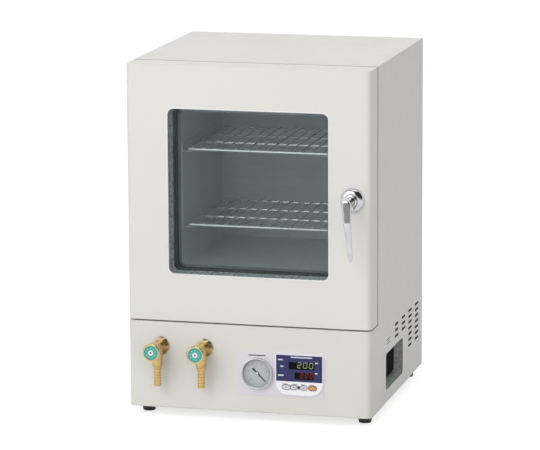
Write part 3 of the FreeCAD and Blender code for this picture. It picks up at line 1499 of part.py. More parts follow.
def gauge_works():
    """The gauge's dial with the works behind it, and its glass."""
    disc = cylinder(
        "dial_disc", "dims.dial_radius - dims.running_gap", "dims.dial_thickness",
        "dims.gauge_x", DIAL_FACE, GAUGE_HEIGHT, along="y",
    )
    works_start = f"({DIAL_FACE} + dims.dial_thickness)"
    works_end = f"({FRONT} + dims.gauge_body_depth - dims.gauge_wall)"
    works = cylinder(
        "dial_works", f"dims.gauge_inner_radius * {WORKS_SHARE}", f"{works_end} - {works_start}",
        "dims.gauge_x", works_start, GAUGE_HEIGHT, along="y",
    )
    hole = cylinder(
        "dial_hole", "dims.pointer_pin_radius + dims.running_gap", "2 * dims.dial_thickness",
        "dims.gauge_x", DIAL_FACE, GAUGE_HEIGHT, along="y",
    )
    keep(cut("dial_body", fuse("dial_blank", [disc, works]), [hole]), "gauge_dial")
    glass = cylinder(
        "gauge_glass_disc", "dims.gauge_radius - dims.gauge_rim - dims.running_gap",
        "dims.gauge_glass_thickness", "dims.gauge_x", GAUGE_GLASS_FACE, GAUGE_HEIGHT,
        along="y",
    )
    keep(glass, "gauge_glass")


def gauge_pointer():
    """The pointer, at rest on zero at the dial's lower right, with its pin through the dial."""
    body = new_body("gauge_pointer")
    blade = sketch(body, "XZ_Plane", "blade", "dims.fit_gap")
    reach = "dims.pointer_length"
    half = "dims.pointer_width / 2"
    stations = list(zip(("-dims.pointer_tail", "0", reach), POINTER_TAPER))
    below = [(x, f"-{half} * {share}") for x, share in stations]
    above = [(x, f"{half} * {share}") for x, share in reversed(stations)]
    outline(blade, below + above)
    pad(body, blade, "dims.pointer_thickness")
    hub = sketch(body, "XZ_Plane", "hub", "dims.fit_gap")
    circle(hub, "dims.pointer_hub_radius")
    pad(body, hub, "dims.pointer_hub_height")
    shank = sketch(body, "XZ_Plane", "pin", "dims.fit_gap")
    circle(shank, "dims.pointer_pin_radius")
    pad(body, shank, "dims.dial_thickness + dims.fit_gap", backwards=True)
    turned = Rotation(Vector(0, 1, 0), number("dims.pointer_rest_angle"))
    body.Placement = FreeCAD.Placement(Vector(), turned)
    put(body, "dims.gauge_x", DIAL_FACE, GAUGE_HEIGHT)
    keep(body, "gauge_pointer")


# Control panel

def label_plate():
    """The thin plate behind the gauge and the controller."""
    body = new_body("control_plate")
    face = sketch(body, "XZ_Plane", "outline")
    rounded_rectangle(face, "dims.label_width", "dims.label_height", "dims.label_thickness")
    circle(
        face, "dims.gauge_body_radius + dims.fit_gap", "dims.gauge_x - dims.label_x",
        "dims.gauge_rise - dims.label_rise",
    )
    rounded_rectangle(
        face, f"{HOUSING_WIDTH} + 2 * dims.fit_gap", f"{HOUSING_HEIGHT} + 2 * dims.fit_gap",
        "dims.control_corner", "dims.control_x - dims.label_x",
        "dims.control_top_rise - dims.control_height / 2 - dims.label_rise",
    )
    pad(body, face, "dims.label_thickness", backwards=True)
    put(body, "dims.label_x", LABEL_FACE, LABEL_HEIGHT)
    keep(body, "control_plate")


def control_face():
    """The controller's front moulding, round at its lower corners, with display and key openings."""
    body = new_body("control_face")
    outside = sketch(body, "XZ_Plane", "outline")
    half = "dims.control_width / 2"
    middle = "-dims.control_height / 2"
    rounded_rectangle(
        outside, "dims.control_width", "dims.control_height", "dims.control_corner", "0", middle,
    )
    pad(body, outside, "dims.control_thickness", backwards=True)
    trim = sketch(body, "XZ_Plane", "lower_corners")
    bevel = "dims.control_bottom_corner"
    low = "-dims.control_height"
    below = f"{low} - {bevel} * {BEVEL_SPARE}"
    for sign in (-1, 1):
        beside = f"{sign} * ({half} + {bevel} * {BEVEL_SPARE})"
        curve = [
            (f"{sign} * ({half} - {bevel} * {across})", f"{low} + {bevel} * {up}")
            for across, up in BEVEL_PROFILE
        ]
        start = [(beside, below), (beside, f"{low} + {bevel}")]
        outline(trim, start + curve + [(f"{sign} * ({half} - {bevel})", below)])
    pocket(body, trim, "dims.control_thickness")
    displays = sketch(body, "XZ_Plane", "displays")
    for name in ("upper", "lower"):
        rounded_rectangle(
            displays, f"dims.display_{name}_width", f"dims.display_{name}_height",
            "dims.fit_gap", f"dims.display_{name}_x", f"-dims.display_{name}_drop",
        )
    pocket(body, displays, "dims.display_thickness")
    wells = sketch(body, "XZ_Plane", "key_holes")
    for _, x, width in KEYS:
        slot(
            wells, f"({width} + 2 * dims.fit_gap)", "(dims.key_height + 2 * dims.fit_gap)", x,
            "-dims.key_drop",
        )
    pocket(body, wells, "dims.control_thickness")
    put(body, "dims.control_x", CONTROL_FACE, CONTROL_TOP)
    keep(body, "control_face")


def controller_housing():
    """The controller's case behind the panel, with a well for each key."""
    body = new_body("controller_housing")
    outside = sketch(body, "XZ_Plane", "outline")
    rounded_rectangle(
        outside, HOUSING_WIDTH, HOUSING_HEIGHT, "dims.control_corner", "0",
        "-dims.control_height / 2",
    )
    pad(body, outside, "dims.housing_depth", backwards=True)
    wells = sketch(body, "XZ_Plane", "key_wells")
    for _, x, width in KEYS:
        slot(
            wells, f"({width} + 2 * dims.fit_gap)", "(dims.key_height + 2 * dims.fit_gap)", x,
            "-dims.key_drop",
        )
    pocket(body, wells, "dims.key_sunk - dims.control_thickness + dims.key_travel + dims.fit_gap")
    put(body, "dims.control_x", LABEL_FACE, CONTROL_TOP)
    keep(body, "controller_housing")


def displays():
    """The two dark display windows, one above the other."""
    windows = []
    for name in ("upper", "lower"):
        width = f"(dims.display_{name}_width - 2 * dims.fit_gap)"
        height = f"(dims.display_{name}_height - 2 * dims.fit_gap)"
        windows.append(box(
            f"display_{name}", width, "dims.display_thickness", height,
            f"dims.control_x + dims.display_{name}_x - {width} / 2", CONTROL_FACE,
            f"{CONTROL_TOP} - dims.display_{name}_drop - {height} / 2",
        ))
    keep(group("display_group", windows), "display_windows")


def key(label, x, width):
    """One round-ended key that stands a little proud of the controller's face."""
    body = new_body(label)
    face = sketch(body, "XZ_Plane", "outline")
    slot(face, width, "dims.key_height")
    pad(body, face, "dims.key_proud + dims.key_sunk", backwards=True)
    put(
        body, f"dims.control_x + {x}", f"{CONTROL_FACE} - dims.key_proud",
        f"{CONTROL_TOP} - dims.key_drop",
    )
    keep(body, label)


# Side recess

def side_recess():
    """The pressed recess behind the side opening, open outwards, with the breaker's hole."""
    wall = "dims.sheet_wall"
    body = new_body("side_recess")
    middle = ("dims.recess_length / 2", "dims.recess_height / 2")
    size = ("dims.recess_length", "dims.recess_height", "dims.recess_corner")
    outside = sketch(body, "YZ_Plane", "outside")
    rounded_rectangle(outside, *grown(size, wall), *middle)
    pad(body, outside, f"dims.recess_depth + {wall}")
    inside = sketch(body, "YZ_Plane", "inside", f"dims.recess_depth + {wall}")
    rounded_rectangle(inside, *size, *middle)
    pocket(body, inside, "dims.recess_depth")
    hole = sketch(body, "YZ_Plane", "hole", wall)
    rounded_rectangle(
        hole, "dims.breaker_length + 2 * dims.fit_gap", "dims.breaker_height + 2 * dims.fit_gap",
        "dims.label_thickness", "dims.breaker_set_back + dims.breaker_length / 2",
        "dims.breaker_lift + dims.breaker_height / 2",
    )
    pocket(body, hole, f"2 * {wall}")
    put(body, f"{RECESS_WALL_FACE} - {wall}", RECESS_FRONT, RECESS_FLOOR)
    keep(body, "side_recess")


def terminal_cover():
    """The grey cover over the supply terminals, with a bowed front edge."""
    length = "(dims.recess_length - dims.cover_set_back - dims.recess_corner)"
    height = "(dims.recess_height - 2 * dims.recess_corner)"
    y = f"({RECESS_FRONT} + dims.cover_set_back)"
    z = f"({RECESS_FLOOR} + dims.recess_corner)"
    block = box("cover_block", "dims.cover_thickness", length, height, RECESS_WALL_FACE, y, z)
    bow = cylinder(
        "cover_bow", "dims.cover_bow_radius", "dims.cover_thickness", RECESS_WALL_FACE,
        f"{y} + dims.cover_bow_radius", f"{z} + {height} / 2", along="x",
    )
    shaped = DOC.addObject("Part::MultiCommon", "cover_body")
    shaped.Shapes = [block, bow]
    keep(shaped, "terminal_cover")


def breaker():
    """The circuit breaker in the recess: its body and its rocking toggle."""
    front = f"({RECESS_WALL_FACE} + dims.breaker_proud)"
    y = f"({RECESS_FRONT} + dims.breaker_set_back)"
    z = f"({RECESS_FLOOR} + dims.breaker_lift)"
    block = box(
        "breaker_block", "dims.breaker_depth", "dims.breaker_length", "dims.breaker_height",
        f"{front} - dims.breaker_depth", y, z,
    )
    pivot = (front, f"{y} + dims.breaker_length / 2", f"{z} + dims.breaker_height / 2")
    slot_room = box(
        "breaker_toggle_room", "dims.toggle_slot_depth",
        "dims.toggle_width + 2 * dims.fit_gap", "dims.toggle_slot_length",
        f"{front} - dims.toggle_slot_depth",
        f"{pivot[1]} - dims.toggle_width / 2 - dims.fit_gap",
        f"{pivot[2]} - dims.toggle_slot_length / 2",
    )
    keep(cut("breaker_case", block, [slot_room]), "breaker_body")
    toggle(front, pivot[1], pivot[2])


def toggle(front, y, z):
    """The breaker's toggle: a round boss in the slot with a lever that stands up to ON."""
    boss = cylinder(
        "toggle_boss", "dims.toggle_boss_radius", "dims.toggle_width",
        "0", "-dims.toggle_width / 2", "0", along="y",
    )
    arm = box(
        "toggle_arm", "dims.toggle_boss_radius + dims.toggle_reach", "dims.toggle_width",
        "dims.toggle_thickness", "0", "-dims.toggle_width / 2", "-dims.toggle_thickness / 2",
    )
    piece = fuse("toggle_body", [boss, arm])
    tilt = Rotation(Vector(0, 1, 0), -number("dims.toggle_tilt"))
    piece.Placement = FreeCAD.Placement(Vector(), tilt)
    put(piece, f"{front} - dims.toggle_boss_radius", y, z)
    keep(piece, "breaker_toggle")


# Rear fittings

def cable_gland():
    """The cable gland at the rear: thread through the panel, hexagon, dome and a bore."""
    body = new_body("cable_gland")
    collar = sketch(body, "XZ_Plane", "collar")
    hexagon(collar, "dims.gland_flats")
    pad(body, collar, "dims.gland_nut_length", backwards=True)
    section = sketch(body, "YZ_Plane", "section")
    inside, shoulder = "-dims.gland_thread_length", "dims.gland_nut_length / 2"
    thread = [(inside, "0"), (inside, "dims.gland_thread_radius")]
    step = [(shoulder, "dims.gland_thread_radius"), (shoulder, "dims.gland_dome_radius")]
    dome = [
        (f"dims.gland_length * {along}", f"dims.gland_dome_radius * {out}")
        for along, out in GLAND_PROFILE
    ]
    outline(section, thread + step + dome + [("dims.gland_length", "0")])
    turn(body, section, "H_Axis")
    bore = sketch(body, "XZ_Plane", "bore", "dims.gland_thread_length")
    circle(bore, "dims.gland_bore_radius")
    pocket(body, bore, "dims.gland_thread_length + dims.gland_length")
    put(body, "dims.gland_x", BACK, "dims.foot_height + dims.gland_rise")
    keep(body, "cable_gland")


def rear_spacers():
    """Two stand-offs on the rear panel that keep the cabinet off the wall."""
    pieces = []
    for name, sign in (("left", -1), ("right", 1)):
        pieces.append(cylinder(
            f"spacer_{name}", "dims.spacer_radius", "dims.spacer_length",
            f"{sign} * ({HALF_WIDTH} - dims.spacer_side_inset)", BACK,
            "dims.foot_height + dims.spacer_rise", along="y",
        ))
    keep(group("spacer_group", pieces), "rear_spacers")


# Pipes and power parts

def bent_path(corners, bend):
    """A wire through straight runs, with a tangent arc of the given radius at each corner."""
    edges = []
    start = corners[0]
    for before, corner, after in zip(corners, corners[1:], corners[2:]):
        arriving = (corner - before).normalize()
        leaving = (after - corner).normalize()
        half_turn = arriving.getAngle(leaving) / 2
        trim = bend * math.tan(half_turn)
        arc_start = corner - arriving * trim
        arc_end = corner + leaving * trim
        inward = (leaving - arriving).normalize()
        centre_reach = bend / math.cos(half_turn)
        middle = corner + inward * (centre_reach - bend)
        edges.append(Part.LineSegment(start, arc_start).toShape())
        edges.append(Part.Arc(arc_start, middle, arc_end).toShape())
        start = arc_end
    edges.append(Part.LineSegment(start, corners[-1]).toShape())
    return Part.Wire(edges)


def swept_pipe(corners):
    """A solid round pipe along a bent path."""
    path = bent_path(corners, number("dims.pipe_bend"))
    direction = corners[1] - corners[0]
    end = Part.Wire(Part.makeCircle(number("dims.pipe_radius"), corners[0], direction))
    return path.makePipeShell([end], True, False)


def gas_pipes():
    """Three pipes from the valves and the gauge to the ports in the chamber's back wall."""
    front = number(FRONT)
    lane = number(PIPE_LANE)
    arrival = number(CHAMBER_BACK_OUTSIDE)
    stud_end = front + number("dims.valve_stud_length")
    gauge_end = front + number("dims.gauge_body_depth + dims.gauge_stem_length")
    starts = (
        Vector(number("dims.valve_left_x"), stud_end, number(VALVE_HEIGHT)),
        Vector(number("dims.valve_right_x"), stud_end, number(VALVE_HEIGHT)),
        Vector(number("dims.gauge_x"), gauge_end, number(GAUGE_HEIGHT)),
    )
    pipes = []
    for start, (across, rise) in zip(starts, PORTS):
        port_x, port_z = number(across), number(rise)
        pipes.append(swept_pipe([
            start, Vector(start.x, lane, start.z), Vector(port_x, lane, port_z),
            Vector(port_x, arrival, port_z),
        ]))
    feature = DOC.addObject("Part::Feature", "pipes")
    feature.Shape = Part.makeCompound(pipes)
    keep(feature, "gas_pipes")


def power_relay():
    """The heater's power relay on its finned heat sink, on the base plate."""
    width, depth = "dims.relay_width", "dims.relay_depth"
    left = f"(dims.relay_x - {width} / 2)"
    y = f"({FRONT} + dims.relay_set_back)"
    z = f"({BOTTOM} + dims.sheet_wall)"
    pieces = [box("relay_base_plate", width, depth, "dims.relay_base", left, y, z)]
    for place in range(int(SIZES["relay_fins"])):
        step = f"({width} - dims.relay_fin_thickness) * {place} / (dims.relay_fins - 1)"
        pieces.append(box(
            f"relay_fin_{place}", "dims.relay_fin_thickness", depth, "dims.relay_fin_height",
            f"{left} + {step}", y, f"{z} + dims.relay_base",
        ))
    keep(fuse("relay_body", pieces), "power_relay")


# The whole

def build():
    """Make every sub-part."""
    side_panel("right_side_panel", 1, f"{HALF_WIDTH} - dims.sheet_wall")
    side_panel("left_side_panel", -1, f"-{HALF_WIDTH}")
    front_panel()
    base_plate()
    top_cover()
    rear_panel()
    feet()
    deck()
    front_frame()
    chamber()
    insulation()
    heaters()
    sensor()
    shelf_rails()
    wire_shelf("upper_shelf", f"{CHAMBER_MIDDLE} + dims.shelf_spacing / 2")
    wire_shelf("lower_shelf", f"{CHAMBER_MIDDLE} - dims.shelf_spacing / 2")
    door_shell()
    window_trim()
    door_glazing()
    door_liner()
    door_gasket()
    door_wool()
    hinges()
    latch_bushing()
    latch_escutcheon()
    latch_lever()
    latch_shaft()
    latch_keeper()
    valve("left_valve", "dims.valve_left_x")
    valve("right_valve", "dims.valve_right_x")
    valve_flanges()
    gauge_case()
    gauge_works()
    gauge_pointer()
    label_plate()
    control_face()
    controller_housing()
    displays()
    for label, x, width in KEYS:
        key(label, x, width)
    side_recess()
    terminal_cover()
    breaker()
    cable_gland()
    rear_spacers()
    gas_pipes()
    power_relay()
    DOC.recompute()


def check():
    """Stop if any object failed or any sub-part has no valid solid."""
    for obj in DOC.Objects:
        if "Invalid" in obj.State or "Error" in obj.State:
            raise RuntimeError(f"{obj.Name} failed: {obj.State}")
    for obj in NODES:
        shape = obj.Shape
        if shape.isNull() or not shape.isValid() or not shape.Solids:
            raise RuntimeError(f"{obj.Label} has no valid solid")


def write():
    """Write one STEP file for each sub-part."""
    os.makedirs("parts", exist_ok=True)
    for obj in NODES:
        obj.Shape.exportStep(f"parts/{obj.Label}.step")
    print(f"{len(NODES)} sub-parts written")


build()
check()
write()
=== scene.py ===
"""The inert gas oven's looks, built round its CAD solids. Metres, in the part's own frame."""

import json
import math

import bmesh
import bpy
from mathutils import Matrix, Vector


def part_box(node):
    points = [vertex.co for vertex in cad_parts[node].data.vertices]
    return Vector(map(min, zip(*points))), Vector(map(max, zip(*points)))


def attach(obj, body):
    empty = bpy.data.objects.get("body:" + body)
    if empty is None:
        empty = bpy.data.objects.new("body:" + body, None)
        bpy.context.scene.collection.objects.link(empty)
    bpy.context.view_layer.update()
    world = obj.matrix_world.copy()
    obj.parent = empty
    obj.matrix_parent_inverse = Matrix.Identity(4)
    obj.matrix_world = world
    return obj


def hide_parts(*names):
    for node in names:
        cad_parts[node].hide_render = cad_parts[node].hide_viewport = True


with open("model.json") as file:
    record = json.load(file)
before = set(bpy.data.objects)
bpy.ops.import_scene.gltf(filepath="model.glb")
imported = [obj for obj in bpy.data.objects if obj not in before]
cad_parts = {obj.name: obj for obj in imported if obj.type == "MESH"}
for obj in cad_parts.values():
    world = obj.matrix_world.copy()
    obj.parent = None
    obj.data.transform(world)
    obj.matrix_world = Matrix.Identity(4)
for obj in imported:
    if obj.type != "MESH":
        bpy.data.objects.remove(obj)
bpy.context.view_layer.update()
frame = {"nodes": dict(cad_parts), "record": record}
NODES = frame["nodes"]

MM = 0.001
ALONG_X = Vector((1, 0, 0))
ALONG_Y = Vector((0, 1, 0))

# Camera, fitted to the cabinet's edges
CAMERA_PLACE = Vector((1.5615, -6.0980, 1.5677))
CAMERA_YAW = math.radians(14.474)
CAMERA_PITCH = math.radians(10.989)
CAMERA_ROLL = math.radians(-0.295)
FOCAL_PIXELS = 3261.2
FRAME_PIXELS = 540
SENSOR_MM = 36.0


# Node helpers

# Depths of the surfaces' relief
STEEL_RELIEF = 0.04 * MM
COAT_RELIEF = 0.06 * MM
SOFT_RELIEF = 0.08 * MM
WOOL_RELIEF = 0.6 * MM

COAT_ROUGH = (0.34, 0.46)
COAT_SPECULAR = 0.42
NOISE_DETAIL = 3.0
EDGE_SAMPLES = 6
GLASS_INDEX = 1.25
GLASS_HAZE = 0.02


class Material:
    """A procedural material: a Principled shader with small helpers to feed it."""

    def __init__(self, name, color=(0.8, 0.8, 0.8), rough=0.5, metal=0.0, **sockets):
        self.material = bpy.data.materials.new(name)
        self.material.use_nodes = True
        self.tree = self.material.node_tree
        self.shader = self.tree.nodes["Principled BSDF"]
        self.output = self.tree.nodes["Material Output"]
        self.color = color
        self.place = self.add("ShaderNodeTexCoord").outputs["Object"]
        self.set("Base Color", (*color, 1))
        self.set("Roughness", rough)
        self.set("Metallic", metal)
        for socket, value in sockets.items():
            self.set(socket.replace("_", " "), value)

    def set(self, socket, value):
        """Set a socket of the shader."""
        self.shader.inputs[socket].default_value = value

    def add(self, kind, **settings):
        """Add a node."""
        node = self.tree.nodes.new(kind)
        for key, value in settings.items():
            setattr(node, key, value)
        return node

    def link(self, source, target):
        """Join an output to an input."""
        self.tree.links.new(source, target)

    def drive(self, socket, value):
        """Link a value to a socket of the shader."""
        self.link(value, self.shader.inputs[socket])

    def feed(self, node, index, value):
        """Give an input a constant or a link."""
        if hasattr(value, "is_linked"):
            self.link(value, node.inputs[index])
        else:
            node.inputs[index].default_value = value

    def math(self, operation, first, second=0.0):
        """A Math node's result."""
        node = self.add("ShaderNodeMath", operation=operation)
        self.feed(node, 0, first)
        self.feed(node, 1, second)
        return node.outputs[0]

    def mix(self, share, first, second):
        """A mix of two colours."""
        node = self.add("ShaderNodeMix", data_type="RGBA")
        self.feed(node, 0, share)
        self.feed(node, 6, first if hasattr(first, "is_linked") else (*first, 1))
        self.feed(node, 7, second if hasattr(second, "is_linked") else (*second, 1))
        return node.outputs[2]

    def stretched(self, stretch):
        """Object coordinates, scaled by axis."""
        node = self.add("ShaderNodeMapping")
        self.link(self.place, node.inputs["Vector"])
        node.inputs["Scale"].default_value = stretch
        return node.outputs["Vector"]

    def noise(self, scale, stretch=None):
        """Noise with features of about 1/scale metres."""
        node = self.add("ShaderNodeTexNoise")
        self.link(self.stretched(stretch) if stretch else self.place, node.inputs["Vector"])
        node.inputs["Scale"].default_value = scale
        node.inputs["Detail"].default_value = NOISE_DETAIL
        return node.outputs["Fac"]

    def ranged(self, value, low, high, start=0.3, end=0.7):
        """A value spread over a range."""
        node = self.add("ShaderNodeMapRange")
        self.link(value, node.inputs["Value"])
        for key, number in (("From Min", start), ("From Max", end), ("To Min", low), ("To Max", high)):
            node.inputs[key].default_value = number
        return node.outputs["Result"]

    def mottle(self, scale, other, start=0.35, end=0.65, stretch=None):
        """Vary the base colour towards another tone."""
        share = self.ranged(self.noise(scale, stretch=stretch), 0.0, 1.0, start, end)
        self.drive("Base Color", self.mix(share, self.color, other))
        return self

    def gloss(self, scale, low, high, stretch=None):
        """Vary the roughness."""
        value = self.ranged(self.noise(scale, stretch=stretch), low, high)
        self.drive("Roughness", value)
        return self

    def grain(self, scale, strength, depth, stretch=None, edge=0.0):
        """A fine relief, over edges that are rounded by a given radius."""
        node = self.add("ShaderNodeBump")
        if edge:
            fold = self.add("ShaderNodeBevel", samples=EDGE_SAMPLES)
            fold.inputs["Radius"].default_value = edge
            self.link(fold.outputs["Normal"], node.inputs["Normal"])
        node.inputs["Strength"].default_value = strength
        node.inputs["Distance"].default_value = depth
        self.link(self.noise(scale, stretch), node.inputs["Height"])
        self.drive("Normal", node.outputs["Normal"])
        return self

    def axis(self, letter):
        """One coordinate of the object space."""
        node = self.add("ShaderNodeSeparateXYZ")
        self.link(self.place, node.inputs[0])
        return node.outputs[letter]

    def from_centre(self, centre):
        """Distance from a centre, across and up."""
        squares = []
        for letter, value in (("X", centre.x), ("Z", centre.z)):
            step = self.math("SUBTRACT", self.axis(letter), value)
            squares.append(self.math("MULTIPLY", step, step))
        return self.math("SQRT", self.math("ADD", *squares))


def orange_peel(made, rough=COAT_ROUGH, edge=0.0):
    """Finish a powder coat with its sheen and its fine relief."""
    made.gloss(60.0, *rough)
    made.grain(700.0, 0.12, COAT_RELIEF, edge=edge)
    return made.material


def scratches(made, rough, stretch=None):
    """Finish a steel sheet with its sheen and its fine scratches."""
    made.gloss(90.0, *rough, stretch=stretch)
    made.grain(420.0, 0.16, STEEL_RELIEF, stretch=stretch)
    return made.material


def paint(name, color, other, rough=COAT_ROUGH, edge=0.0):
    """Powder coat: a faint drift of tone under its orange peel."""
    made = Material(name, color, Specular_IOR_Level=COAT_SPECULAR)
    made.mottle(5.0, other)
    return orange_peel(made, rough, edge)


def brushed(name, color, other, stretch, rough=(0.28, 0.42)):
    """Brushed steel: long scratches along one axis."""
    made = Material(name, color, metal=1.0)
    made.mottle(40.0, other, stretch=stretch)
    return scratches(made, rough, stretch)


def wire(name, color=(0.9, 0.9, 0.88), other=(0.78, 0.78, 0.77)):
    """Bright drawn or blasted steel, dull enough to scatter part of the light."""
    made = Material(name, color, metal=0.35)
    made.mottle(60.0, other)
    made.gloss(150.0, 0.22, 0.34)
    made.grain(600.0, 0.1, STEEL_RELIEF)
    return made.material


def polished(name, color, other, rough=(0.04, 0.1)):
    """Plated or polished metal with faint handling marks."""
    made = Material(name, color, metal=1.0)
    made.mottle(55.0, other)
    made.gloss(130.0, *rough)
    made.grain(35.0, 0.04, SOFT_RELIEF)
    return made.material


def brass(name, color, other, rough=(0.2, 0.36)):
    """Machined brass, a little tarnished."""
    made = Material(name, color, metal=1.0)
    made.mottle(110.0, other, 0.45, 0.8)
    made.gloss(240.0, *rough)
    made.grain(700.0, 0.1, STEEL_RELIEF)
    return made.material


def moulded(name, color, other, rough=(0.4, 0.55), scale=900.0, strength=0.2, **sockets):
    """Moulded plastic or rubber with a fine texture."""
    made = Material(name, color, **sockets)
    made.mottle(28.0, other)
    made.gloss(90.0, *rough)
    made.grain(scale, strength, SOFT_RELIEF)
    return made.material


def wool(name):
    """Mineral wool: layered fibres."""
    made = Material(name, (0.62, 0.58, 0.42), 0.95, Sheen_Weight=0.3)
    made.mottle(120.0, (0.42, 0.39, 0.28), stretch=(1.0, 1.0, 5.0))
    made.grain(500.0, 0.8, WOOL_RELIEF, stretch=(1.0, 1.0, 4.0))
    return made.material


def galvanised(name, color, other):
    """Zinc-coated sheet: a patchy spangle."""
    made = Material(name, color, metal=0.2)
    made.mottle(160.0, other, 0.4, 0.62)
    made.gloss(160.0, 0.45, 0.7)
    made.grain(400.0, 0.3, SOFT_RELIEF)
    return made.material


def pane(name, tint):
    """Thin glass: a tinted clear body with faint wiping marks, which mirrors more at a slant."""
    made = Material(name)
    clear = made.add("ShaderNodeBsdfTransparent")
    smear = made.ranged(made.noise(9.0), 0.97, 1.0)
    tinted = made.add("ShaderNodeMix", data_type="RGBA", blend_type="MULTIPLY")
    tinted.inputs[0].default_value = 1.0
    tinted.inputs[6].default_value = (*tint, 1)
    made.link(smear, tinted.inputs[7])
    made.link(tinted.outputs[2], clear.inputs["Color"])
    mirror = made.add("ShaderNodeBsdfAnisotropic")
    mirror.inputs["Color"].default_value = (0.95, 0.97, 0.97, 1)
    mirror.inputs["Roughness"].default_value = GLASS_HAZE
    weight = made.add("ShaderNodeLayerWeight")
    weight.inputs["Blend"].default_value = 0.5
    rise = made.math("POWER", weight.outputs["Facing"], 5.0)
    least = ((GLASS_INDEX - 1) / (GLASS_INDEX + 1)) ** 2
    blend = made.add("ShaderNodeMixShader")
    made.link(made.ranged(rise, least, 1.0, 0.0, 1.0), blend.inputs[0])
    made.link(clear.outputs[0], blend.inputs[1])
    made.link(mirror.outputs[0], blend.inputs[2])
    made.link(blend.outputs[0], made.output.inputs["Surface"])
    made.tree.nodes.remove(made.shader)
    return made.material


def lamp(name, color, strength):
    """A lit segment or signal lamp with a soft core, over a darker lens."""
    lens = tuple(0.2 * part for part in color)
    made = Material(name, lens, 0.4, Specular_IOR_Level=0.1)
    core = made.ranged(made.noise(700.0), strength * 0.85, strength)
    made.set("Emission Color", (*color, 1))
    made.drive("Emission Strength", core)
    return made.material


# Mesh helpers

def add_object(name, data):
    """Put a new object into the scene."""
    made = bpy.data.objects.new(name, data)
    bpy.context.scene.collection.objects.link(made)
    return made


def mesh_object(name, bm, material, body, smooth=False):
    """Turn a bmesh in the part's frame into a piece that rides on a body."""
    bmesh.ops.recalc_face_normals(bm, faces=bm.faces)
    for face in bm.faces:
        face.smooth = smooth
    mesh = bpy.data.meshes.new(name)
    bm.to_mesh(mesh)
    bm.free()
    piece = add_object(name, mesh)
    mesh.materials.append(material)
    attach(piece, body)
    return piece


def prism(bm, points, low, high, turn=None):
    """Add a flat outline in X and Z, extruded between two values of Y."""
    rings = []
    for y in (low, high):
        rings.append([bm.verts.new((x, y, z)) for x, z in points])
    bm.faces.new(rings[0])
    bm.faces.new(list(reversed(rings[1])))
    for place in range(len(points)):
        following = (place + 1) % len(points)
        bm.faces.new((
            rings[0][following], rings[0][place], rings[1][place], rings[1][following],
        ))
    if turn:
        bmesh.ops.transform(bm, matrix=turn, verts=rings[0] + rings[1])


def rounded(width, height, radius, centre, steps):
    """Points of a rectangle with round corners."""
    points = []
    corners = ((1, 1, 0), (-1, 1, 90), (-1, -1, 180), (1, -1, 270))
    for sign_x, sign_z, start in corners:
        x = centre[0] + sign_x * (width / 2 - radius)
        z = centre[1] + sign_z * (height / 2 - radius)
        for step in range(steps + 1):
            angle = math.radians(start + 90 * step / steps)
            points.append((x + radius * math.cos(angle), z + radius * math.sin(angle)))
    return points


def lathe(bm, profile, centre, axis, segments):
    """Turn a profile of (distance along the axis, radius) about an axis."""
    spin = axis.to_track_quat("Z", "Y").to_matrix()
    rings = []
    for along, radius in profile:
        ring = []
        count = 1 if radius < 1e-7 else segments
        for step in range(count):
            angle = 2 * math.pi * step / segments
            local = Vector((radius * math.cos(angle), radius * math.sin(angle), along))
            ring.append(bm.verts.new(centre + spin @ local))
        rings.append(ring)
    for first, second in zip(rings, rings[1:]):
        for step in range(segments):
            following = (step + 1) % segments
            loop = [first[step % len(first)], first[following % len(first)],
                    second[following % len(second)], second[step % len(second)]]
            unique = list(dict.fromkeys(loop))
            if len(unique) > 2:
                bm.faces.new(unique)


def loft(bm, sections):
    """Join rings of equal point counts and close both ends."""
    rings = [[bm.verts.new(point) for point in section] for section in sections]
    for first, second in zip(rings, rings[1:]):
        for step in range(len(first)):
            following = (step + 1) % len(first)
            bm.faces.new((first[step], first[following], second[following], second[step]))
    bm.faces.new(list(reversed(rings[0])))
    bm.faces.new(rings[-1])


def metres(pairs):
    """Pairs of millimetres as pairs of metres."""
    return [(first * MM, second * MM) for first, second in pairs]


def keep_edges(piece, degrees):
    """Keep the edges of a smooth piece crisp where it turns by more than an angle."""
    edges = piece.modifiers.new("edges", "EDGE_SPLIT")
    edges.split_angle = math.radians(degrees)


def middle(node):
    """The middle of a CAD node's box."""
    low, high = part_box(node)
    return (low + high) / 2


# Materials

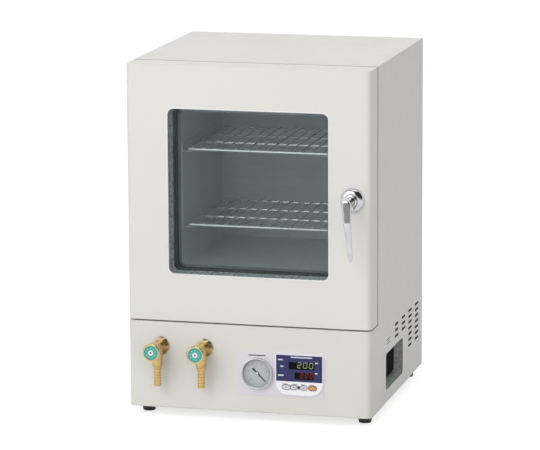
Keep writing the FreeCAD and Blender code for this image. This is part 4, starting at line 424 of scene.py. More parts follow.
OFF_WHITE = (0.735, 0.725, 0.69)
OFF_WHITE_DRIFT = (0.70, 0.69, 0.655)
DOOR_WHITE = (0.75, 0.74, 0.705)
DOOR_WHITE_DRIFT = (0.72, 0.71, 0.675)
STEEL = (0.36, 0.37, 0.38)
STEEL_DRIFT = (0.31, 0.32, 0.33)
CHAMBER_STEEL = (0.7, 0.705, 0.715)
FOLD_RADIUS = 1.4 * MM
MATERIALS = {
    "cabinet_paint": paint("cabinet_paint", OFF_WHITE, OFF_WHITE_DRIFT, edge=FOLD_RADIUS),
    "door_paint": paint("door_paint", DOOR_WHITE, DOOR_WHITE_DRIFT, edge=FOLD_RADIUS),
    "rim_paint": paint("rim_paint", (0.86, 0.87, 0.86), (0.82, 0.83, 0.82), (0.25, 0.35),
                       edge=0.8 * MM),
    "window_glass": pane("window_glass", (0.88, 0.91, 0.915)),
    "clear_glass": pane("clear_glass", (0.975, 0.98, 0.982)),
    "stainless": brushed("stainless", STEEL, STEEL_DRIFT, (1.0, 1.0, 14.0), (0.4, 0.55)),
    "wire_steel": wire("wire_steel"),
    "tunnel_steel": wire("tunnel_steel", (0.72, 0.75, 0.73), (0.66, 0.69, 0.67)),
    "wool": wool("wool"),
    "handle_chrome": polished("handle_chrome", (0.64, 0.65, 0.67), (0.58, 0.59, 0.61)),
    "machine_steel": brushed("machine_steel", (0.5, 0.5, 0.5), (0.4, 0.4, 0.4), (1.0, 1.0, 9.0)),
    "valve_brass": brass("valve_brass", (0.64, 0.47, 0.19), (0.5, 0.35, 0.13), (0.16, 0.28)),
    "plate_chrome": polished("plate_chrome", (0.62, 0.6, 0.57), (0.5, 0.47, 0.42)),
    "knob_brass": brass("knob_brass", (0.66, 0.52, 0.28), (0.52, 0.39, 0.19), (0.16, 0.28)),
    "gauge_steel": polished("gauge_steel", (0.7, 0.71, 0.71), (0.6, 0.61, 0.61), (0.12, 0.2)),
    "label_pale": paint("label_pale", (0.74, 0.71, 0.775), (0.7, 0.67, 0.73), (0.4, 0.5)),
    "display_black": moulded("display_black", (0.002, 0.0025, 0.003), (0.004, 0.004, 0.005),
                             (0.3, 0.4), 300.0, 0.03, Specular_IOR_Level=0.08),
    "recess_grey": galvanised("recess_grey", (0.52, 0.55, 0.53), (0.34, 0.37, 0.35)),
    "cover_grey": moulded("cover_grey", (0.006, 0.007, 0.008), (0.012, 0.013, 0.014),
                          (0.8, 0.95), Specular_IOR_Level=0.05),
    "pipe_copper": brass("pipe_copper", (0.72, 0.38, 0.24), (0.5, 0.25, 0.15)),
    "sink_aluminium": brushed("sink_aluminium", (0.72, 0.72, 0.74), (0.6, 0.6, 0.62),
                              (1.0, 6.0, 1.0)),
    "screw_steel": brushed("screw_steel", (0.62, 0.62, 0.62), (0.5, 0.5, 0.5), (4.0, 4.0, 4.0)),
    "label_bare": paint("label_bare", (0.78, 0.78, 0.76), (0.72, 0.72, 0.7), (0.3, 0.4)),
    "green_lit": lamp("green_lit", (0.4, 0.54, 0.26), 0.85),
    "red_lit": lamp("red_lit", (0.4, 0.04, 0.035), 0.7),
    "rose_lit": lamp("rose_lit", (0.4, 0.09, 0.16), 0.8),
    "cyan_lit": lamp("cyan_lit", (0.07, 0.16, 0.3), 0.8),
}

# Plain plastics, rubbers and inks by their two tones
PLASTICS = {
    "silicone": ((0.035, 0.038, 0.038), (0.02, 0.022, 0.022)),
    "foot_rubber": ((0.018, 0.018, 0.018), (0.03, 0.03, 0.03)),
    "pointer_black": ((0.012, 0.012, 0.014), (0.03, 0.03, 0.03)),
    "key_white": ((0.72, 0.72, 0.76), (0.62, 0.62, 0.67)),
    "key_orange": ((0.66, 0.3, 0.06), (0.55, 0.24, 0.05)),
    "breaker_black": ((0.012, 0.013, 0.013), (0.02, 0.02, 0.02)),
    "gland_black": ((0.02, 0.02, 0.02), (0.035, 0.035, 0.035)),
    "spacer_grey": ((0.35, 0.36, 0.36), (0.28, 0.28, 0.28)),
    "print_black": ((0.02, 0.02, 0.03), (0.05, 0.05, 0.06)),
    "print_grey": ((0.09, 0.1, 0.11), (0.14, 0.15, 0.16)),
    "hub_white": ((0.85, 0.85, 0.85), (0.78, 0.78, 0.78)),
    "print_white": ((0.75, 0.75, 0.78), (0.68, 0.68, 0.72)),
    "segment_dark": ((0.018, 0.022, 0.02), (0.012, 0.014, 0.013)),
}
for plastic, tones in PLASTICS.items():
    MATERIALS[plastic] = moulded(plastic, *tones)


# Radii of a badge's print, as shares of the badge's own
BADGE_TICKS = (0.56, 0.76)
BADGE_MIDDLE = 0.38
BADGE_DOT = 0.14
BADGE_TICK_COUNT = 9.0


def badge_material(side):
    """A valve badge: teal with pale ticks, a white middle and a black dot."""
    centre = middle(f"{side}_valve_badge")
    low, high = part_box(f"{side}_valve_badge")
    radius = (high.x - low.x) / 2
    made = Material(f"{side}_badge", (0.02, 0.34, 0.27), 0.25, Coat_Weight=0.4)
    away = made.from_centre(centre)
    across = made.math("SUBTRACT", made.axis("X"), centre.x)
    rise = made.math("SUBTRACT", made.axis("Z"), centre.z)
    angle = made.math("ARCTAN2", rise, across)
    waves = made.math("SINE", made.math("MULTIPLY", angle, BADGE_TICK_COUNT))
    tick = made.math("GREATER_THAN", waves, 0.25)
    band = made.math("MULTIPLY", made.math("GREATER_THAN", away, BADGE_TICKS[0] * radius),
                     made.math("LESS_THAN", away, BADGE_TICKS[1] * radius))
    marks = made.math("MULTIPLY", made.math("MULTIPLY", tick, band), 0.55)
    tone = made.mix(made.noise(220.0), (0.018, 0.40, 0.30), (0.02, 0.30, 0.27))
    tone = made.mix(marks, tone, (0.45, 0.72, 0.66))
    white = made.math("LESS_THAN", away, BADGE_MIDDLE * radius)
    tone = made.mix(white, tone, (0.8, 0.83, 0.84))
    dot = made.math("LESS_THAN", away, BADGE_DOT * radius)
    tone = made.mix(dot, tone, (0.01, 0.01, 0.012))
    made.drive("Base Color", tone)
    made.gloss(300.0, 0.18, 0.3)
    return made.material


def controller_material():
    """The controller's face: white moulding with a navy field that holds the displays."""
    low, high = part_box("control_face")
    edge = 2.0 * MM
    field_drop = 53.6 * MM
    made = Material("controller_face", (0.72, 0.72, 0.78), 0.4, Specular_IOR_Level=0.2)
    inside = made.math("GREATER_THAN", made.axis("Z"), high.z - field_drop)
    for letter, value, kind in (
        ("Z", high.z - edge, "LESS_THAN"),
        ("X", low.x + edge, "GREATER_THAN"),
        ("X", high.x - edge, "LESS_THAN"),
    ):
        inside = made.math("MULTIPLY", inside, made.math(kind, made.axis(letter), value))
    white = made.mix(made.noise(40.0), (0.9, 0.9, 0.93), (0.86, 0.86, 0.9))
    navy = made.mix(made.noise(60.0), (0.034, 0.034, 0.118), (0.044, 0.044, 0.136))
    made.drive("Base Color", made.mix(inside, white, navy))
    made.gloss(120.0, 0.28, 0.42)
    made.grain(900.0, 0.1, 0.05 * MM)
    return made.material


def dial_material():
    """The dial: pale enamel, with painted shade towards its rim and a painted shadow at its edge."""
    centre = middle("gauge_dial")
    shade_start, shade_end, rim = 16.0 * MM, 26.5 * MM, 27.4 * MM
    made = Material("dial_face", (0.5, 0.52, 0.54), 0.5)
    # Painted shade: the enamel turns darker towards the rim.
    shade = made.ranged(made.from_centre(centre), 0.0, 1.0, shade_start, shade_end)
    tone = made.mix(made.noise(160.0), (0.61, 0.62, 0.645), (0.54, 0.555, 0.575))
    tone = made.mix(shade, tone, (0.44, 0.455, 0.475))
    # Painted shadow: a dark line round the dial's edge, where it meets the wall.
    edge = made.math("GREATER_THAN", made.from_centre(centre), rim)
    made.drive("Base Color", made.mix(edge, tone, (0.1, 0.105, 0.11)))
    made.gloss(200.0, 0.35, 0.5)
    return made.material


def liner_material():
    """The door's rear pan: brushed steel, with a black silicone lip over its collar."""
    lip_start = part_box("door_liner")[1].y - 2.0 * MM
    made = Material("door_liner_steel", STEEL, metal=1.0)
    steel = made.mix(made.noise(40.0, stretch=(1.0, 1.0, 14.0)), STEEL, STEEL_DRIFT)
    silicone = made.mix(made.noise(90.0), (0.03, 0.033, 0.033), (0.02, 0.022, 0.022))
    lip = made.math("LESS_THAN", made.axis("Y"), lip_start)
    made.drive("Base Color", made.mix(lip, steel, silicone))
    made.drive("Metallic", made.math("SUBTRACT", 1.0, lip))
    return scratches(made, (0.4, 0.55))


ROD_LAYER = 4.7 * MM


def shelf_material(name):
    """A shelf: the rods painted brighter than the thin wires over them, a painted highlight."""
    rods_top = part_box(name)[0].z + ROD_LAYER
    made = Material(f"{name}_steel", (0.9, 0.9, 0.88))
    rod = made.math("LESS_THAN", made.axis("Z"), rods_top)
    thin = made.mix(made.noise(60.0), (0.66, 0.67, 0.67), (0.6, 0.61, 0.61))
    # Painted highlight: the rods get a lighter tone than the wires to stand in for their glints.
    painted_rod_highlight = made.mix(made.noise(60.0), (0.98, 0.98, 0.97), (0.92, 0.92, 0.91))
    made.drive("Base Color", made.mix(rod, thin, painted_rod_highlight))
    made.drive("Metallic", made.ranged(rod, 0.1, 0.5, 0.0, 1.0))
    made.gloss(150.0, 0.14, 0.24)
    made.grain(600.0, 0.1, STEEL_RELIEF)
    return made.material


def chamber_material():
    """The chamber's sheet: dull blasted steel that scatters much of its light."""
    made = Material("chamber_steel", CHAMBER_STEEL, metal=0.1)
    made.mottle(30.0, tuple(0.92 * part for part in CHAMBER_STEEL), stretch=(1.0, 1.0, 10.0))
    return scratches(made, (0.5, 0.65))


# The vent slots' field on the right panel: an axis, its limit and which side of it counts
VENT_FIELD = (
    ("Y", -100.0 * MM, "GREATER_THAN"),
    ("Y", 245.0 * MM, "LESS_THAN"),
    ("Z", 30.0 * MM, "GREATER_THAN"),
    ("Z", 360.0 * MM, "LESS_THAN"),
)
# How far in from the panel's outer face the painted shade starts
SHADE_DEPTH = 0.12 * MM


def panel_material():
    """The right panel's powder coat, with near-black painted shade on its inside and on the slots'
    walls.
    """
    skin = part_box("right_side_panel")[1].x - SHADE_DEPTH
    made = Material("panel_coat", OFF_WHITE, Specular_IOR_Level=COAT_SPECULAR)
    coat = made.mix(made.noise(5.0), OFF_WHITE, OFF_WHITE_DRIFT)
    # Painted shade: the panel's inside and the slots' walls within the vent field turn near black.
    slot_shade = made.mix(made.noise(40.0), (0.02, 0.02, 0.02), (0.03, 0.03, 0.03))
    inside = made.math("LESS_THAN", made.axis("X"), skin)
    for letter, value, kind in VENT_FIELD:
        inside = made.math("MULTIPLY", inside, made.math(kind, made.axis(letter), value))
    made.drive("Base Color", made.mix(inside, coat, slot_shade))
    return orange_peel(made, edge=FOLD_RADIUS)


def door_material():
    """The door's powder coat, with near-black painted shade along the pan's rear edge, at the seam."""
    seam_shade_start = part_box("door_shell")[1].y - 3.4 * MM
    made = Material("door_coat", DOOR_WHITE, Specular_IOR_Level=COAT_SPECULAR)
    coat = made.mix(made.noise(5.0), DOOR_WHITE, DOOR_WHITE_DRIFT)
    # Painted shade: the pan's rear edge gets a rubber-dark tone for the shadow of the seam to the
    # cabinet.
    seam_shade = made.math("GREATER_THAN", made.axis("Y"), seam_shade_start)
    rubber = made.mix(made.noise(90.0), (0.05, 0.052, 0.052), (0.035, 0.037, 0.037))
    made.drive("Base Color", made.mix(seam_shade, coat, rubber))
    return orange_peel(made, edge=FOLD_RADIUS)


# Width in millimetres of each sheet's softened edges
SOFT_EDGES = {
    "door_shell": 0.6,
    "top_cover": 0.5,
    "front_panel": 0.5,
    "right_side_panel": 0.3,
    "left_side_panel": 0.3,
    "control_face": 0.4,
}


def dress_nodes():
    """Give each carried-over CAD node its material, and soften the sheets' edges."""
    blasted = chamber_material()
    special = {
        "left_valve_badge": badge_material("left"),
        "right_valve_badge": badge_material("right"),
        "control_face": controller_material(),
        "gauge_dial": dial_material(),
        "door_liner": liner_material(),
        "window_tunnel": MATERIALS["tunnel_steel"],
        "upper_shelf": shelf_material("upper_shelf"),
        "lower_shelf": shelf_material("lower_shelf"),
        "door_shell": door_material(),
        "chamber": blasted,
        "shelf_rails": blasted,
        "right_side_panel": panel_material(),
    }
    for entry in frame["record"]["subparts"]:
        node = NODES[entry["node"]]
        material = special.get(entry["node"]) or MATERIALS[entry["material_slot"]]
        node.data.materials.clear()
        node.data.materials.append(material)
        for face in node.data.polygons:
            face.material_index = 0
    for name, width in SOFT_EDGES.items():
        bevel = NODES[name].modifiers.new("soft_edges", "BEVEL")
        bevel.width = width * MM
        bevel.segments = 2
        bevel.limit_method = "ANGLE"
        bevel.angle_limit = math.radians(40)


# Latch

LATCH_AXIS_Z = 442.75 * MM
LEVER_TURN = math.radians(-4.6)

# The arm's section is a squared ellipse: a lower power squares it more
POWER_ACROSS = 0.42
POWER_OUT = 0.5


def latch_axis():
    """The point where the latch's axis meets the door's face."""
    return Vector((middle("latch_shaft").x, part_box("latch_escutcheon")[1].y, LATCH_AXIS_Z))


def latch_handle():
    """The chrome lever: a neck, and a long arm with a round top that leans out to a knee."""
    hub = latch_axis()
    corners = 32
    profile = [
        (0.0, 0.0), (0.0, 7.5), (42.0, 6.9), (45.0, 7.2), (47.0, 8.2), (49.0, 8.8), (51.0, 8.8),
        (52.0, 0.0),
    ]
    bm = bmesh.new()
    lathe(bm, metres(profile), hub, -ALONG_Y, segments=56)
    neck = mesh_object("latch_neck", bm, MATERIALS["handle_chrome"], "latch",
                       smooth=True)
    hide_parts("latch_lever")
    keep_edges(neck, 50)
    # Each station of the arm, in mm: drop below the axis, width, depth, reach from the door
    stations = (
        (-9.3, 3.4, 4.0, 53.4), (-8.8, 7.6, 8.4, 55.6), (-7.0, 12.8, 10.6, 56.55),
        (-3.4, 17.0, 11.8, 56.95), (1.0, 18.4, 12.2, 57.35), (8.0, 17.6, 12.0, 58.0),
        (20.0, 15.8, 11.4, 59.2), (30.0, 14.4, 11.0, 60.3), (36.0, 13.6, 10.7, 60.9),
        (42.0, 13.0, 10.4, 60.5), (70.0, 10.4, 8.7, 57.8), (96.0, 8.1, 6.9, 55.2),
        (104.5, 7.2, 6.1, 54.2), (107.4, 5.2, 4.6, 53.4), (108.0, 2.6, 2.4, 52.4),
    )
    spin = Matrix.Translation(hub) @ Matrix.Rotation(LEVER_TURN, 4, "Y")
    sections = []
    for drop, width, depth, reach in stations:
        centre = Vector((0, (depth / 2 - reach) * MM, -drop * MM))
        section = []
        for step in range(corners):
            angle = 2 * math.pi * step / corners
            cosine, sine = math.cos(angle), math.sin(angle)
            across = math.copysign(abs(cosine) ** POWER_ACROSS, cosine) * width / 2 * MM
            out = math.copysign(abs(sine) ** POWER_OUT, sine) * depth / 2 * MM
            section.append(spin @ (centre + Vector((across, out, 0))))
        sections.append(section)
    bm = bmesh.new()
    loft(bm, sections)
    arm = mesh_object("latch_arm", bm, MATERIALS["handle_chrome"], "latch",
                      smooth=True)
    smoother = arm.modifiers.new("round", "SUBSURF")
    smoother.levels = smoother.render_levels = 2


def latch_dome():
    """The chrome dome on the door, with its collar round the lever's neck."""
    low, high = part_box("latch_escutcheon")
    radius = (high.x - low.x) / 2
    rise = 11.0 * MM
    inner = 12.4 * MM
    bore = 7.8 * MM
    profile = [(0.0, bore), (0.0, radius), (rise * 0.1, radius)]
    for step in range(1, 11):
        angle = math.radians(step * 9)
        out = inner + (radius - inner) * math.cos(angle)
        profile.append((rise * (0.1 + 0.9 * math.sin(angle)), out))
    collar = ((11.0, 11.2), (11.6, 10.9), (13.6, 10.9), (14.6, 10.4), (15.0, 9.4), (15.0, 7.8))
    profile += metres(collar)
    profile.append((0.0, bore))
    bm = bmesh.new()
    lathe(bm, profile, latch_axis(), -ALONG_Y, segments=72)
    dome = mesh_object("latch_dome", bm, MATERIALS["handle_chrome"], "door",
                       smooth=True)
    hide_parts("latch_escutcheon")
    keep_edges(dome, 50)


# Gauge

PRINT_DEPTH = 0.05 * MM
LINE_DEPTH = 0.06 * MM
NUMBER_SIZE = 5.0 * MM
NUMBER_HALF_DEPTH = 0.02 * MM
DIAL_ZERO = math.radians(-45)
DIAL_SWEEP = math.radians(270)
DIAL_STEPS = 50
DIAL_SPANS = 5


def gauge_print():
    """The dial's ticks and numbers."""
    centre = middle("gauge_dial")
    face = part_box("gauge_dial")[0].y
    outer = 25.4
    major_length, middle_length, minor_length = 4.2, 2.6, 1.7
    number_ring = 17.6 * MM
    bm = bmesh.new()
    for tick in range(DIAL_STEPS + 1):
        angle = DIAL_ZERO + DIAL_SWEEP * tick / DIAL_STEPS
        major = tick % 10 == 0
        length = major_length if major else middle_length if tick % 5 == 0 else minor_length
        inner = outer - length
        half = 0.32 if major else 0.16
        points = [(inner, -half), (outer, -half), (outer, half), (inner, half)]
        turned = [
            (centre.x + (r * math.cos(angle) - w * math.sin(angle)) * MM,
             centre.z + (r * math.sin(angle) + w * math.cos(angle)) * MM)
            for r, w in points
        ]
        prism(bm, turned, face - LINE_DEPTH, face)
    mesh_object("dial_ticks", bm, MATERIALS["print_grey"], "cabinet")
    for place in range(DIAL_SPANS + 1):
        angle = DIAL_ZERO + DIAL_SWEEP * place / DIAL_SPANS
        spot = (centre.x + number_ring * math.cos(angle), centre.z + number_ring * math.sin(angle))
        number_on_face(f"dial_number_{place}", str(place * 2), spot, face - PRINT_DEPTH)


NEEDLE_ANGLE = math.radians(45)


def gauge_needle():
    """The pointer: a broad tail, a tapered needle, a dark hub and its pale middle."""
    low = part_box("gauge_pointer")[0]
    centre = middle("gauge_dial")
    outline = [
        (-13.2, -1.7), (-6.5, -1.7), (-3.0, -1.0), (3.0, -1.35), (22.6, -0.75), (24.0, 0.0),
        (22.6, 0.75), (3.0, 1.35), (-3.0, 1.0), (-6.5, 1.7), (-13.2, 1.7),
    ]
    cosine, sine = math.cos(NEEDLE_ANGLE), math.sin(NEEDLE_ANGLE)
    turned = [
        (centre.x + (along * cosine + across * sine) * MM,
         centre.z + (across * cosine - along * sine) * MM)
        for along, across in outline
    ]
    bm = bmesh.new()
    prism(bm, turned, low.y + 1.0 * MM, low.y + 1.8 * MM)
    hub = [(0.0, 0.0), (0.0, 3.1), (1.6, 3.0), (2.0, 2.6), (2.1, 0.0)]
    hub_foot = Vector((centre.x, low.y + 2.2 * MM, centre.z))
    lathe(bm, metres(hub), hub_foot, -ALONG_Y, segments=32)
    needle = mesh_object("pointer_needle", bm, MATERIALS["pointer_black"], "pointer")
    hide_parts("gauge_pointer")
    bm = bmesh.new()
    cap = [(0.0, 0.0), (0.0, 2.5), (0.4, 2.4), (0.6, 1.9), (0.7, 0.0)]
    cap_foot = Vector((centre.x, low.y + 0.15 * MM, centre.z))
    lathe(bm, metres(cap), cap_foot, -ALONG_Y, segments=24)
    mesh_object("pointer_hub_cap", bm, MATERIALS["hub_white"], "pointer")


def gauge_shell():
    """The gauge's case: a smooth steel cup and bezel, with a white wall down to the dial."""
    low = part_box("gauge_case")[0]
    centre = middle("gauge_dial")
    wall_start = low.y + 2.2 * MM
    wall_radius = 28.5 * MM
    steel = Material("bezel_steel", (0.7, 0.71, 0.71), metal=1.0)
    depth = steel.math("SUBTRACT", steel.axis("Y"), wall_start)
    near = steel.math("LESS_THAN", steel.from_centre(centre), wall_radius)
    wall = steel.math("MULTIPLY", near, steel.math("GREATER_THAN", depth, 0.0))
    metal = steel.mix(steel.noise(55.0), (0.72, 0.73, 0.73), (0.62, 0.63, 0.63))
    white = steel.mix(steel.noise(55.0), (0.9, 0.9, 0.91), (0.86, 0.86, 0.88))
    steel.drive("Base Color", steel.mix(wall, metal, white))
    steel.drive("Metallic", steel.math("SUBTRACT", 1.0, wall))
    steel.gloss(130.0, 0.12, 0.2)
    outside = [
        (0.0, 28.9), (0.0, 29.7), (0.15, 30.05), (0.5, 30.2), (10.0, 30.2), (10.0, 27.5),
        (41.0, 27.5), (41.0, 6.0), (55.0, 6.0), (55.0, 0.0),
    ]
    inside = [
        (0.0, 28.9), (2.5, 28.9), (2.5, 28.2), (9.0, 28.2), (9.0, 26.0), (39.5, 26.0), (39.5, 0.0),
    ]
    bm = bmesh.new()
    for outline in (outside, inside):
        lathe(bm, metres(outline), Vector((centre.x, low.y, centre.z)), ALONG_Y, segments=96)
    bmesh.ops.remove_doubles(bm, verts=bm.verts, dist=0.001 * MM)
    shell = mesh_object("gauge_shell", bm, steel.material, "cabinet", smooth=True)
    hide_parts("gauge_case")
    keep_edges(shell, 40)


def number_on_face(name, words, spot, face):
    """A flat printed number that faces the front."""
    curve = bpy.data.curves.new(name, "FONT")
    curve.body = words
    curve.size = NUMBER_SIZE
    curve.align_x = "CENTER"
    curve.align_y = "CENTER"
    curve.extrude = NUMBER_HALF_DEPTH
    holder = add_object(f"{name}_curve", curve)
    upright = Matrix.Rotation(math.radians(90), 4, "X")
    holder.matrix_world = Matrix.Translation((spot[0], face, spot[1])) @ upright
    bpy.context.view_layer.update()
    shown = holder.evaluated_get(bpy.context.evaluated_depsgraph_get())
    mesh = bpy.data.meshes.new_from_object(shown)
    mesh.transform(holder.matrix_world)
    bpy.data.objects.remove(holder)
    piece = add_object(name, mesh)
    mesh.materials.clear()
    mesh.materials.append(MATERIALS["print_grey"])
    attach(piece, "cabinet")


# Controller

SEGMENT_HALF = 0.52 * MM
SEGMENT_LIFT = 0.01 * MM
SEGMENT_GAP = 0.6
FIGURE_LEAN = 0.08
SEGMENTS = {"2": "abged", "0": "abcdef"}
SEGMENT_LINES = {
    "a": ((0, 2), (1, 2)), "b": ((1, 2), (1, 1)), "c": ((1, 1), (1, 0)), "d": ((0, 0), (1, 0)),
    "e": ((0, 1), (0, 0)), "f": ((0, 2), (0, 1)), "g": ((0, 1), (1, 1)),
}


def segment(bm, start, end, half, low, high):
    """One bar of a digit, pointed at both ends and a little short of the corners."""
    along = (end - start).normalized()
    side = Vector((-along.y, along.x))
    start = start + along * half * SEGMENT_GAP
    end = end - along * half * SEGMENT_GAP
    points = [
        start, start + along * half + side * half, end - along * half + side * half,
        end, end - along * half - side * half, start + along * half - side * half,
    ]
    prism(bm, [(point.x, point.y) for point in points], low, high)


def digits(name, words, right, base, size, step, material):
    """A row of seven-segment figures that ends at a given right edge."""
    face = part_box("display_windows")[0].y
    lit = bmesh.new()
    dark = bmesh.new()
    for place, figure in enumerate(reversed(words)):
        left = right - size[0] - place * step
        for letter, line in SEGMENT_LINES.items():
            ends = [
                Vector((left + x * size[0] + z * size[1] / 2 * FIGURE_LEAN,
                        base + z * size[1] / 2))
                for x, z in line
            ]
            target = lit if letter in SEGMENTS[figure] else dark
            segment(target, *ends, SEGMENT_HALF, face - PRINT_DEPTH, face - SEGMENT_LIFT)
    mesh_object(name, lit, material, "cabinet")
    mesh_object(f"{name}_unlit", dark, MATERIALS["segment_dark"], "cabinet")


def displays():
    """The two rows of figures."""
    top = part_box("control_face")[1].z
    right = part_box("display_windows")[1].x
    digits("upper_digits", "200", right - 3.2 * MM, top - 26.2 * MM,
           (6.6 * MM, 10.4 * MM), 11.6 * MM, MATERIALS["green_lit"])
    digits("lower_digits", "200", right - 3.0 * MM, top - 45.0 * MM,
           (5.4 * MM, 8.6 * MM), 9.8 * MM, MATERIALS["red_lit"])


def on_controller(across, drop):
    """A place on the controller's front, in millimetres from its upper left corner."""
    low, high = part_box("control_face")
    return low.x + across * MM, high.z - drop * MM


def bar(bm, centre, width, height, corner, face):
    """A flat printed bar with round corners, its sizes in millimetres."""
    points = rounded(width * MM, height * MM, corner * MM, centre, steps=3)
    prism(bm, points, face - PRINT_DEPTH, face)


def controller_captions():
    """Plain bars in the places of the controller's words."""
    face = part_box("control_face")[0].y
    bars = bmesh.new()
    for across, drop, width, height in (
        (52.0, 5.8, 42.0, 2.2), (10.2, 11.6, 9.4, 2.4), (13.2, 24.4, 5.8, 2.4),
        (11.4, 42.2, 11.0, 2.4), (81.6, 15.4, 5.0, 2.4), (81.0, 35.6, 4.8, 2.4),
    ):
        bar(bars, on_controller(across, drop), width, height, corner=0.4, face=face)
    mesh_object("caption_bars", bars, MATERIALS["print_white"], "cabinet")
    small = bmesh.new()
    for across, width in ((19.0, 10.0), (39.5, 10.0), (54.5, 6.0), (72.0, 9.0)):
        bar(small, on_controller(across, 58.6), width, 0.9, corner=0.3, face=face)
    gap = (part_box("key_two")[1].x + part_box("key_three")[0].x) / 2
    bar(small, (gap, middle("key_two").z), 3.6, 6.6, corner=0.5, face=face)
    mesh_object("key_caption_bars", small, MATERIALS["segment_dark"], "cabinet")


def signal_lamps():
    """The small lamps beside the displays."""
    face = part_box("control_face")[0].y
    profile = [(0.0, 0.0), (0.0, 1.3), (0.3, 1.2), (0.5, 0.7), (0.55, 0.0)]
    for name, across, drop, material in (
        ("heat_lamp", 17.4, 11.8, "rose_lit"), ("output_lamp", 19.0, 24.8, "cyan_lit"),
    ):
        x, z = on_controller(across, drop)
        bm = bmesh.new()
        lathe(bm, metres(profile), Vector((x, face, z)), -ALONG_Y, segments=20)
        mesh_object(name, bm, MATERIALS[material], "cabinet", smooth=True)


def gauge_caption():
    """A plain bar in the place of the words over the gauge."""
    low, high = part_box("control_plate")
    bm = bmesh.new()
    centre = (middle("gauge_dial").x - 1.0 * MM, high.z - 6.2 * MM)
    bar(bm, centre, 34.0, 2.0, corner=0.4, face=low.y)
    mesh_object("gauge_caption_bar", bm, MATERIALS["segment_dark"], "cabinet")


# Keys

# Each key's body, node and mark, and the mark's material and slot
KEYS = (
    ("first_key", "key_one", "bar", "print_black", "key_white"),
    ("second_key", "key_two", "down", "print_black", "key_white"),
    ("third_key", "key_three", "up", "print_black", "key_white"),
    ("fourth_key", "key_four", "bar", "print_white", "key_orange"),
)
RIM_MARGINS = (3.0 * MM, 0.8 * MM)
MARK_DEPTH = 0.04 * MM

# Corners of the triangular marks, in mm from the key's middle
MARK_CORNERS = {
    "down": ((-1.6, 1.1), (0.0, -1.4), (1.6, 1.1)),
    "up": ((-1.6, -1.1), (1.6, -1.1), (0.0, 1.4)),
}


def key_rim(name, node):
    """A dark line round a key's well."""
    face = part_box("control_face")[0].y
    low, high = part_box(node)
    centre = middle(node)
    bm = bmesh.new()
    rings = []
    for margin in RIM_MARGINS:
        width, height = high.x - low.x + margin, high.z - low.z + margin
        points = rounded(width, height, height / 2 - 0.01 * MM, (centre.x, centre.z), steps=8)
        for y in (face - LINE_DEPTH, face):
            rings.append([bm.verts.new((x, y, z)) for x, z in points])
    outer_front, outer_back, inner_front, inner_back = rings
    loops = (outer_front, inner_front, inner_back, outer_back, outer_front)
    count = len(outer_front)
    for step in range(count):
        following = (step + 1) % count
        for first, second in zip(loops, loops[1:]):
            bm.faces.new((first[step], first[following], second[following], second[step]))
    mesh_object(name, bm, MATERIALS["print_black"], "cabinet")


def mark_outline(mark, centre):
    """The outline of a key's mark: a bar, or a triangle that points down or up."""
    if mark == "bar":
        return rounded(6.0 * MM, 0.7 * MM, 0.2 * MM, (centre.x, centre.z), steps=3)
    return [(centre.x + x * MM, centre.z + z * MM) for x, z in MARK_CORNERS[mark]]


def key_marks():
    """A rim line round each key's well, and a plain mark on each key."""
    for body, node, mark, material, slot in KEYS:
        key_rim(f"{body}_rim", node)
        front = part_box(node)[0].y
        bm = bmesh.new()
        prism(bm, mark_outline(mark, middle(node)), front - MARK_DEPTH, front)
        mesh_object(f"{body}_mark", bm, MATERIALS[material], body)


# Small fasteners

REAR_SCREW = 3.2 * MM
HINGE_SCREW = 2.9 * MM
SCREW_INSET = 9.0 * MM
TOP_SCREW_REACH = 120.0 * MM
LEAF_FACE = -242.0 * MM
LEAF_HEIGHT = 66.0 * MM


def screw(name, place, outward, radius, body):
    """A pan-head screw with a recess."""
    bm = bmesh.new()
    profile = [(0.0, 0.0), (0.0, 1.0), (0.25, 1.0), (0.5, 0.82), (0.62, 0.5), (0.62, 0.42),
               (0.3, 0.3), (0.25, 0.0)]
    scaled = [(along * radius, width * radius) for along, width in profile]
    lathe(bm, scaled, place, outward, segments=24)
    mesh_object(name, bm, MATERIALS["screw_steel"], body)


def screws():
    """Screws on the rear panel and on the hinge leaves."""
    low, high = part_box("rear_panel")
    span = high.z - low.z - 2 * SCREW_INSET
    for row in range(5):
        z = low.z + SCREW_INSET + span * row / 4
        for side, x in (("left", low.x + SCREW_INSET), ("right", high.x - SCREW_INSET)):
            screw(f"rear_screw_{side}_{row}", Vector((x, high.y, z)), ALONG_Y, REAR_SCREW,
                  "cabinet")
    for name, x in (("a", -TOP_SCREW_REACH), ("b", TOP_SCREW_REACH)):
        screw(f"rear_screw_top_{name}", Vector((x, high.y, high.z - SCREW_INSET)), ALONG_Y,
              REAR_SCREW, "cabinet")
    case_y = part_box("hinge_case_leaves")[1].y - SCREW_INSET
    door_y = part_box("hinge_door_leaves")[0].y + SCREW_INSET
    for body, node, y in (
        ("cabinet", "hinge_case_leaves", case_y), ("door", "hinge_door_leaves", door_y),
    ):
        leaf_low, leaf_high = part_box(node)
        for end, base in (("lower", leaf_low.z), ("upper", leaf_high.z - LEAF_HEIGHT)):
            for rise in (12, 33, 54):
                screw(f"{body}_{end}_hinge_screw_{rise}",
                      Vector((LEAF_FACE, y, base + rise * MM)), -ALONG_X, HINGE_SCREW, body)


